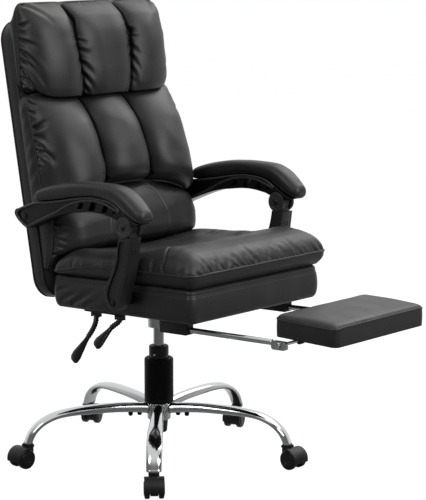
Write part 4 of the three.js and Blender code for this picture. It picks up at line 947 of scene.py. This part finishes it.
def leg_turn(number):
    """A leg's angle from the chair's front."""
    return math.radians(LEG["turn"] + 72 * (number - 1))


def from_column(turn, reach, height=0.0):
    """The place at a reach from the column's middle, turned from the chair's front."""
    return Vector((reach * math.sin(turn), COLUMN_Y - reach * math.cos(turn), height))


def oval(centre, half_width, half_height, up, angles):
    return centre + half_width * np.outer(np.cos(angles), ACROSS) + half_height * np.outer(np.sin(angles), up)


def make_leg(number):
    fall = LEG["end"] - LEG["crest"]
    path = spline([(0, -out * LEG["reach"], LEG["crest"] + fall * drop) for out, drop in LEG_PATH], 90)
    tangent = unit(np.gradient(path, axis=0))
    angles = round_angles(48)
    rings = []
    for i, (centre, ahead) in enumerate(zip(path, tangent)):
        if -centre[1] < LEG["hub"] - LEG["sunk"]:
            continue
        place = i / (len(path) - 1)
        lying = smooth(share(place, LEG["lies_from"], 1))
        up = unit(np.cross(ACROSS, ahead) * (1 - lying) + np.array((0, 1.0, 0)) * lying)
        width, height = curve(LEG_SIZES, place, 1), curve(LEG_SIZES, place, 2)
        rings.append(oval(centre, width / 2, height / 2, up, angles))
    # A small rounding at the cut end
    last = rings[-1]
    middle = last.mean(0)
    rings[-1] = last + (0, 0, LEG["edge"])
    rings.append(middle + (last - middle) * 0.95 + (0, 0, 0.0001))
    rings = np.array(rings)
    spin = np.array(Matrix.Rotation(leg_turn(number), 3, "Z"))
    node = f"base_leg_{number}"
    closed_loft(f"{node}_tube", rings @ spin.T + ON_FLOOR, "base", "chrome", node)
    # The weld round its root
    start = int(np.argmax(-path[:, 1] > LEG["hub"]))
    angles = round_angles(72)
    up = np.cross(ACROSS, tangent[start])
    bead = oval(path[start], WELD["half_width"], WELD["half_height"], up, angles)
    round_hub = np.sqrt(np.maximum((LEG["hub"] + WELD["ripple"]) ** 2 - bead[:, 0] ** 2, 0))
    bead[:, 1] = -round_hub - WELD["ripple"] * np.sin(angles * WELD["ripples"]) ** 2
    tube(f"{node}_weld", bead @ spin.T + ON_FLOOR, WELD["bead"], "base", "chrome", closed=True)


# Moulded and turned pieces, drawn anew with smooth outlines and rounded edges

def closed_spline(points, count):
    """A smooth closed line through points, evenly spaced."""
    points = np.asarray(points, float)
    wrapped = np.concatenate([points[-3:], points, points[:3]])
    line = spline(wrapped, 40 * len(wrapped))
    start = int(np.argmin(np.linalg.norm(line - points[0], axis=1)[: len(line) // 2]))
    rest = line[start + 10:]
    end = start + 10 + int(np.argmin(np.linalg.norm(rest - points[0], axis=1)))
    return resample(line[start:end], count, endpoint=False)


def arc(y, z, radius, angles):
    """Points of a circle in a side view."""
    return np.stack([y + radius * np.cos(angles), z + radius * np.sin(angles)], -1)


def plate(name, outline, holes, from_x, to_x, edge, body, look):
    """A side view's outline with its holes, made thick across the chair, with rounded edges."""
    drawn = bpy.data.curves.new(name, "CURVE")
    drawn.dimensions, drawn.fill_mode = "2D", "BOTH"
    for loop in [outline, *holes]:
        line = drawn.splines.new("POLY")
        line.points.add(len(loop) - 1)
        line.points.foreach_set("co", np.concatenate(
            [loop, np.zeros((len(loop), 1)), np.ones((len(loop), 1))], 1).ravel())
        line.use_cyclic_u = True
    drawn.extrude = abs(to_x - from_x) / 2 - edge
    drawn.bevel_depth, drawn.bevel_resolution, drawn.offset = edge, 2, -edge
    holder = bpy.data.objects.new(name, drawn)
    bpy.context.scene.collection.objects.link(holder)
    mesh = bpy.data.meshes.new_from_object(holder.evaluated_get(bpy.context.evaluated_depsgraph_get()))
    bpy.data.objects.remove(holder)
    bpy.data.curves.remove(drawn)
    shape = bmesh.new()
    shape.from_mesh(mesh)
    bmesh.ops.remove_doubles(shape, verts=shape.verts, dist=MERGE)
    bmesh.ops.recalc_face_normals(shape, faces=shape.faces)
    caps = [abs(face.normal.z) > 0.999 for face in shape.faces]
    shape.to_mesh(mesh)
    shape.free()
    mesh.transform(Matrix(((0, 0, 1, (from_x + to_x) / 2), (1, 0, 0, 0), (0, 1, 0, 0), (0, 0, 0, 1))))
    mesh.shade_smooth()
    mesh.set_sharp_from_angle(angle=math.radians(40))
    mesh.polygons.foreach_set("use_smooth", [not cap for cap in caps])
    return place_mesh(name, mesh, body, look)


def turned(name, profile, place, axis, body, look, sides=64, node=None):
    """A lathe shape from (radius, along) pairs. A profile that starts and ends off the axis is a ring."""
    spin = np.array(Vector(axis).normalized().to_track_quat("Z", "Y").to_matrix())
    vertices, loops = [], []
    for radius, along in profile:
        around = round_angles(sides) if radius > 1e-6 else [0.0]
        loops.append(list(range(len(vertices), len(vertices) + len(around))))
        vertices += [(radius * math.cos(a), radius * math.sin(a), along) for a in around]
    if profile[0][0] > 1e-6:
        loops.append(loops[0])
    faces = []
    for low, high in zip(loops, loops[1:]):
        if len(low) == 1:
            faces += [(low[0], high[j - 1], high[j]) for j in range(sides)]
        elif len(high) == 1:
            faces += [(low[j - 1], high[0], low[j]) for j in range(sides)]
        else:
            faces += bands([low, high])
    points = np.array(vertices) @ spin.T + np.array(place)
    obj = new_object(name, points, faces, body, look, node, outwards=True)
    obj.data.set_sharp_from_angle(angle=math.radians(35))
    return obj


ARM_UNDER = [
    (-0.128, 0.12), (-0.07, 0.07), (0, 0), (0.062, 0.175), (0.154, 0.247), (0.24, 0.268), (0.323, 0.247),
    (0.411, 0.196), (0.505, 0.134), (0.6, 0.03), (0.714, -0.134), (0.85, -0.36), (0.875, -0.405),
    (0.905, -0.37), (0.975, -0.2), (1, -0.06), (0.99, 0.04), (0.96, 0.085), (0.896, 0.186),
]
ARM_PANEL = [
    (0.02, 0.40), (0.06, 0.50), (0.12, 0.58), (0.20, 0.612), (0.28, 0.614), (0.40, 0.55), (0.56, 0.424),
    (0.69, 0.338), (0.79, 0.28), (0.89, 0.145), (0.955, 0.04), (0.972, -0.06), (0.95, -0.19), (0.90, -0.315),
    (0.878, -0.345), (0.855, -0.32), (0.8, -0.22), (0.714, -0.065), (0.6, 0.12), (0.52, 0.29), (0.45, 0.41),
    (0.385, 0.49), (0.3, 0.55), (0.24, 0.56), (0.165, 0.535), (0.1, 0.465), (0.05, 0.40), (0.02, 0.36),
]
VENTS = [(0.085, 0.007, 0.40), (0.165, 0.022, 0.50), (0.275, 0.026, 0.52), (0.385, 0.020, 0.46)]
EAR_DEPTH = 0.009
EAR = from_mm([
    (4.9, 0), (24, 0), (26, 1.8), (26, 7.2), (24.2, 9), (17.5, 9), (16.5, 8.2), (4.9, 8.2),
])
SKIN = 0.0045


def side_points(rows):
    return np.array([arm_place(along, rise) for along, rise in rows])


def clear_of_circle(outline, y, z, radius, upwards=True):
    """Replaces the part of an outline that lies within a circle by the circle's upper or lower arc."""
    inside = np.hypot(outline[:, 0] - y, outline[:, 1] - z) < radius
    start = int(np.argmax(inside & ~np.roll(inside, 1)))
    kept = np.roll(outline, -start, 0)[int(np.argmin(np.roll(inside, -start))):]
    first, last = kept[-1], kept[0]
    a = math.atan2(first[1] - z, first[0] - y)
    b = math.atan2(last[1] - z, last[0] - y)
    middle = math.pi / 2 if upwards else -math.pi / 2
    turn = (b - a) % (2 * math.pi)
    if not (middle - a) % (2 * math.pi) < turn:
        turn -= 2 * math.pi
    return np.concatenate([kept, arc(y, z, radius, a + np.linspace(0, turn, 28))])


def beside(x, outline):
    """A side view's outline at its place across the chair."""
    return np.concatenate([np.full((len(outline), 1), x), outline], 1)


# The frame's top below the pad's foot, the vents' foot and slant, the core's depth below the skins, the
# rounding of both, the ribs' radius, and the rings that core and skins leave free round the ear
FRAME = {
    "below_pad": 0.003, "vent_foot": 0.3, "slant": 0.028, "core_below": 0.0022, "core_edge": 0.0010,
    "skin_edge": 0.0009, "rib": 0.0030, "core_ring": 0.0224, "skin_ring": 0.0272,
}


def make_arm_frame(side, sign):
    body, node = f"arm_{side}", f"arm_frame_{side}"
    y, z = arm_place(0, 0)
    top = [(row[0], row[1] - FRAME["below_pad"]) for row in ARM_PAD_ROWS[3:-2]][::-1]
    outline = closed_spline(side_points(ARM_UNDER + top), 320)
    vents = []
    for along, half, head in VENTS:
        low, high = along - half, along + half
        foot, slant = FRAME["vent_foot"], FRAME["slant"]
        vents.append(side_points([(low, foot), (high, foot), (high - slant, head), (low - slant, head)]))
    panel = closed_spline(side_points(ARM_PANEL), 220)

    def layer(part, outline, holes, near, far, edge):
        return plate(f"{node}_{part}", outline, holes, sign * near, sign * far, edge, body, "arm_plastic")

    core = clear_of_circle(outline, y, z, FRAME["core_ring"])
    around_ear = clear_of_circle(outline, y, z, FRAME["skin_ring"])
    near, far = ARM["inner"] + FRAME["core_below"], ARM["outer"] - FRAME["core_below"]
    pieces = [layer("core", core, vents, near, far, FRAME["core_edge"])]
    for face, out in (("inner", -1), ("outer", 1)):
        surface = ARM[face]
        rib = beside(sign * surface, panel)[::2]
        ear = [(radius, sign * (surface + out * (along - EAR_DEPTH))) for radius, along in EAR]
        pieces += [
            layer(f"{face}_skin", around_ear, [*vents, panel], surface, surface - out * SKIN, FRAME["skin_edge"]),
            # Ribs and ear rings are drawn in a lighter plastic, a painted highlight
            tube(f"{node}_{face}_rib", rib, FRAME["rib"], body, "painted_highlight_plastic", closed=True, sides=12),
            turned(f"{node}_{face}_ear", ear, (0, y, z), ACROSS, body, "painted_highlight_plastic"),
        ]
    for piece in pieces:
        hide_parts(node)


UPRIGHT_ROWS = [
    (-0.118, 0.13), (-0.086, 0.36), (-0.054, 0.55), (0.02, 0.8), (0.1, 1.03), (0.155, 1.09), (0.215, 1.095),
    (0.29, 1.03), (0.34, 0.92), (0.35, 0.83), (0.32, 0.77), (0.24, 0.66), (0.175, 0.48), (0.12, 0.32),
    (0.08, 0.13),
]
UPRIGHT_RECESS = [
    (-0.060, 0.19), (-0.030, 0.48), (0.065, 0.80), (0.128, 0.98), (0.165, 1.045), (0.222, 1.055),
    (0.272, 1.00), (0.303, 0.90), (0.268, 0.79), (0.175, 0.60), (0.115, 0.45), (0.062, 0.19),
]
UPRIGHT_BACK = [(-0.10, 0.27), (-0.075, 0.42), (-0.045, 0.57), (0.03, 0.8)]
UPRIGHT_DROP = 0.186
# Its depth inside the arm, the ring left free round the ear, the depth of core and skin, and its edges' rounding
UPRIGHT = {
    "inside": 0.002, "ring": 0.0264, "core_below": 0.004, "skin": 0.0075, "core_edge": 0.0016, "skin_edge": 0.0014,
    "rim": 0.0013, "rim_sunk": 0.0006, "flute": 0.0011, "flute_sunk": 0.0002, "flutes": (0.014, 0.024),
}
STUD = {"behind": 0.039, "height": 0.464, "radius": 0.0054}
BARREL = {"inside": 0.0094, "bore": 0.0049, "radius": 0.020, "bevel": 0.0012}
NECK = {"half_width": 0.015, "top": -0.006, "foot": -0.037}


def upright_points(rows):
    y, z = arm_place(0, 0)
    return np.array([(y + along * UPRIGHT_DROP, z - drop * UPRIGHT_DROP) for along, drop in rows])


def make_upright(side, sign):
    body, node = f"upright_{side}", f"arm_upright_{side}"
    inner, outer = ARM["inner"] + UPRIGHT["inside"], ARM["outer"] - UPRIGHT["inside"]
    y, z = arm_place(0, 0)
    outline = spline(upright_points(UPRIGHT_ROWS), 220)
    foot = outline[-1] + (outline[0] - outline[-1]) * np.linspace(0.1, 0.9, 9)[:, None]
    outline = clear_of_circle(np.concatenate([outline, foot]), y, z, UPRIGHT["ring"], False)
    recess = closed_spline(upright_points(UPRIGHT_RECESS), 160)
    stud = arc(y + STUD["behind"], STUD["height"], STUD["radius"], round_angles(32))

    def layer(part, outline, holes, near, far, edge):
        return plate(f"{node}_{part}", outline, holes, near, far, edge, body, "upright_plastic")

    def bar(part, points, radius, **shape):
        return tube(f"{node}_{part}", points, radius, body, "upright_plastic", **shape)

    core_face, skin_back = sign * (outer - UPRIGHT["core_below"]), sign * (outer - UPRIGHT["skin"])
    rim = beside(sign * (outer - UPRIGHT["rim_sunk"]), recess)[::2]
    pieces = [
        layer("core", outline, [stud], sign * inner, core_face, UPRIGHT["core_edge"]),
        layer("skin", outline, [recess], skin_back, sign * outer, UPRIGHT["skin_edge"]),
        bar("rim", rim, UPRIGHT["rim"], closed=True),
    ]
    back = spline(upright_points(UPRIGHT_BACK), 40)
    for offset in UPRIGHT["flutes"]:
        groove = beside(sign * (inner + offset), back - (UPRIGHT["flute_sunk"], 0))
        pieces.append(bar(f"flute_{int(offset * 1000)}", groove, UPRIGHT["flute"], sides=6))
    half = (ARM["outer"] - ARM["inner"]) / 2 - BARREL["inside"]
    middle = sign * (ARM["inner"] + ARM["outer"]) / 2
    radius, bevel = BARREL["radius"], BARREL["bevel"]
    end = [(BARREL["bore"], half), (radius - bevel, half), (radius, half - bevel)]
    barrel = [(reach, -along) for reach, along in end] + end[::-1]
    pieces.append(turned(f"{node}_barrel", barrel, (middle, y, z), ACROSS, body, "upright_plastic"))
    width, top, foot = NECK["half_width"], NECK["top"], NECK["foot"]
    neck = np.array([(-width, top), (-width, foot), (width, foot), (width, top)]) + (y, z)
    pieces.append(layer("neck", neck, [], middle - half, middle + half, UPRIGHT["skin_edge"]))
    for piece in pieces:
        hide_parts(node)


BOLT_GAP = 0.0003
BOLT_HEAD = from_mm([
    (4.5, 0), (7, 0), (7, 1), (6.2, 2.1), (4.4, 2.8), (2.2, 2.9), (1.8, 1.8), (0, 1.8),
])


def make_arm_bolts(side, sign):
    """Ear bolts with a domed head in a washer, one at each end."""
    inner, outer = ARM["inner"] - BOLT_GAP, ARM["outer"] + BOLT_GAP
    ends = [(radius, inner - along) for radius, along in BOLT_HEAD[::-1]]
    ends += [(radius, outer + along) for radius, along in BOLT_HEAD]
    profile = [(radius, sign * along) for radius, along in ends]
    node = f"arm_pivot_bolt_{side}"
    turned(f"{node}_round", profile, (0, *arm_place(0, 0)), ACROSS, f"upright_{side}", "black_steel", 40, node)


# Casters

CASTER = {"trail": 0.020, "radius": 0.025, "turns": (-43, -2, -68, 115, 268)}
WHEEL_HALF = from_mm([
    (3, 11), (22.5, 11), (24.3, 11.8), (25, 13.4), (25, 20.5), (24.6, 22), (23.6, 23.1), (21.5, 23.6),
    (19.6, 23.5), (19, 22.8), (18.4, 22.8), (18, 23.6), (17, 24.9), (15, 25.3), (8, 25.3), (7.2, 24.7),
    (0, 24.6),
])


def make_wheels(number):
    turn = math.radians(CASTER["turns"][number - 1])
    stem = from_column(leg_turn(number), LEG["reach"])
    forwards = Vector((math.sin(turn), -math.cos(turn), 0))
    centre = stem + CASTER["trail"] * forwards + Vector((0, 0, CASTER["radius"]))
    profile = [(radius, -along) for radius, along in WHEEL_HALF[::-1]] + WHEEL_HALF
    axle = (math.cos(turn), math.sin(turn), 0)
    node = f"caster_{number}_wheels"
    turned(f"{node}_round", profile, centre, axle, f"caster_{number}_roller", "gloss_plastic", 72, node)


# Column

def rounded_profile(points, radius):
    """Cuts each corner of a lathe profile with a small arc."""
    points = [np.array(p, float) for p in points]
    made = []
    for i, p in enumerate(points):
        if i in (0, len(points) - 1):
            made.append(tuple(p))
            continue
        before, after = points[i - 1] - p, points[i + 1] - p
        reach = min(radius, np.linalg.norm(before) * 0.4, np.linalg.norm(after) * 0.4)
        a = p + before / np.linalg.norm(before) * reach
        b = p + after / np.linalg.norm(after) * reach
        made += [tuple(a), tuple((a + b + 2 * p) / 4), tuple(b)]
    return made


# Each turned piece of the column: its profile, the rounding of its corners, its sides, body and look
COLUMN = {
    "column_cover": ([
        (23.4, 142.3), (37.4, 142.3), (37.4, 150), (36.8, 150.8), (36.8, 151.6), (37.4, 152.4), (37.4, 253.5),
        (36.6, 256.2), (34.5, 257.8), (32, 258), (25.8, 258), (25.8, 255.5), (34.9, 255.5), (34.9, 144.8),
        (23.4, 144.8),
    ], 0.0005, 96, "base", "cover_plastic"),
    "gas_lift_tube": ([
        (0, 62), (18.5, 62), (20.5, 63.5), (23, 92), (23, 286), (20, 286), (20, 68), (0, 68),
    ], 0.0008, 80, "base", "black_steel"),
    "gas_lift_piston": ([
        (0, 150), (13.5, 150), (14, 150.5), (14, 345), (12.5, 383), (0, 383),
    ], 0.0008, 72, "lift", "rod_chrome"),
    "base_hub": ([
        (23.3, 96), (28, 96), (30, 98), (30, 112.5), (30.6, 113.5), (30.6, 125.5), (30, 126.5), (30, 140),
        (28, 142), (23.3, 142),
    ], 0.0006, 96, "base", "chrome"),
}


def make_column():
    for node, (profile, rounding, sides, body, look) in COLUMN.items():
        profile = rounded_profile(from_mm(profile), rounding)
        turned(f"{node}_round", profile, ON_FLOOR, UPWARDS, body, look, sides, node)


NUB_REACHES = (0.052, 0.076)
GLIDE = from_mm([(0, 108.5), (3.5, 109), (5.6, 111), (6, 114), (6, 120), (0, 120)])


def make_glides():
    """Small black rubber nubs under each leg, beside the hub."""
    for number in LEGS:
        for reach in NUB_REACHES:
            name, place = f"base_leg_{number}_nub_{int(reach * 1000)}", from_column(leg_turn(number), reach)
            turned(name, GLIDE, place, UPWARDS, "base", "cover_plastic", 24)


def both_sides(*names):
    return [f"{name}_{side}" for name in names for side, _ in SIDES]


# Pieces that keep the frame's shape, by the width of their edges' rounding
REFINED = {
    0.0012: [
        "gas_lift_collar", "mechanism_housing", "lever_mount", *both_sides("footrest_guide", "rail_bracket"),
        "footrest_hinge_bracket", "back_hinge_seat_side", "back_hinge_back_side",
        *both_sides("arm_stud_bracket"), "mechanism_plate", "footrest_board",
    ],
    0.0007: [
        "gas_lift_screw", *both_sides("footrest_rail"), "footrest_cross_rod", *both_sides("arm_rear_bolt"),
        "height_lever_sleeve", "height_lever_paddle", "recline_lever_sleeve", "recline_lever_paddle",
    ],
}


def dress_cad_nodes():
    for name, piece in frame["nodes"].items():
        piece.data.materials.clear()
        piece.data.materials.append(MATERIALS[SLOTS[name]])


def make_hard_pieces():
    for width, names in REFINED.items():
        for name in names:
            refine(name, width)
    for number in LEGS:
        refine(f"caster_{number}_housing", 0.0010)
        make_wheels(number)


place_camera()
light_scene()
make_floor()
dress_cad_nodes()
make_shell()
make_headrest()
make_back_cushion()
make_lumbar()
make_seat_base()
make_seat_cushion()
make_foot_pad()
for side, sign in SIDES:
    make_arm_pad(side, sign)
    make_arm_frame(side, sign)
    make_upright(side, sign)
    make_arm_bolts(side, sign)
make_column()
make_glides()
for number in LEGS:
    make_leg(number)
make_hard_pieces()
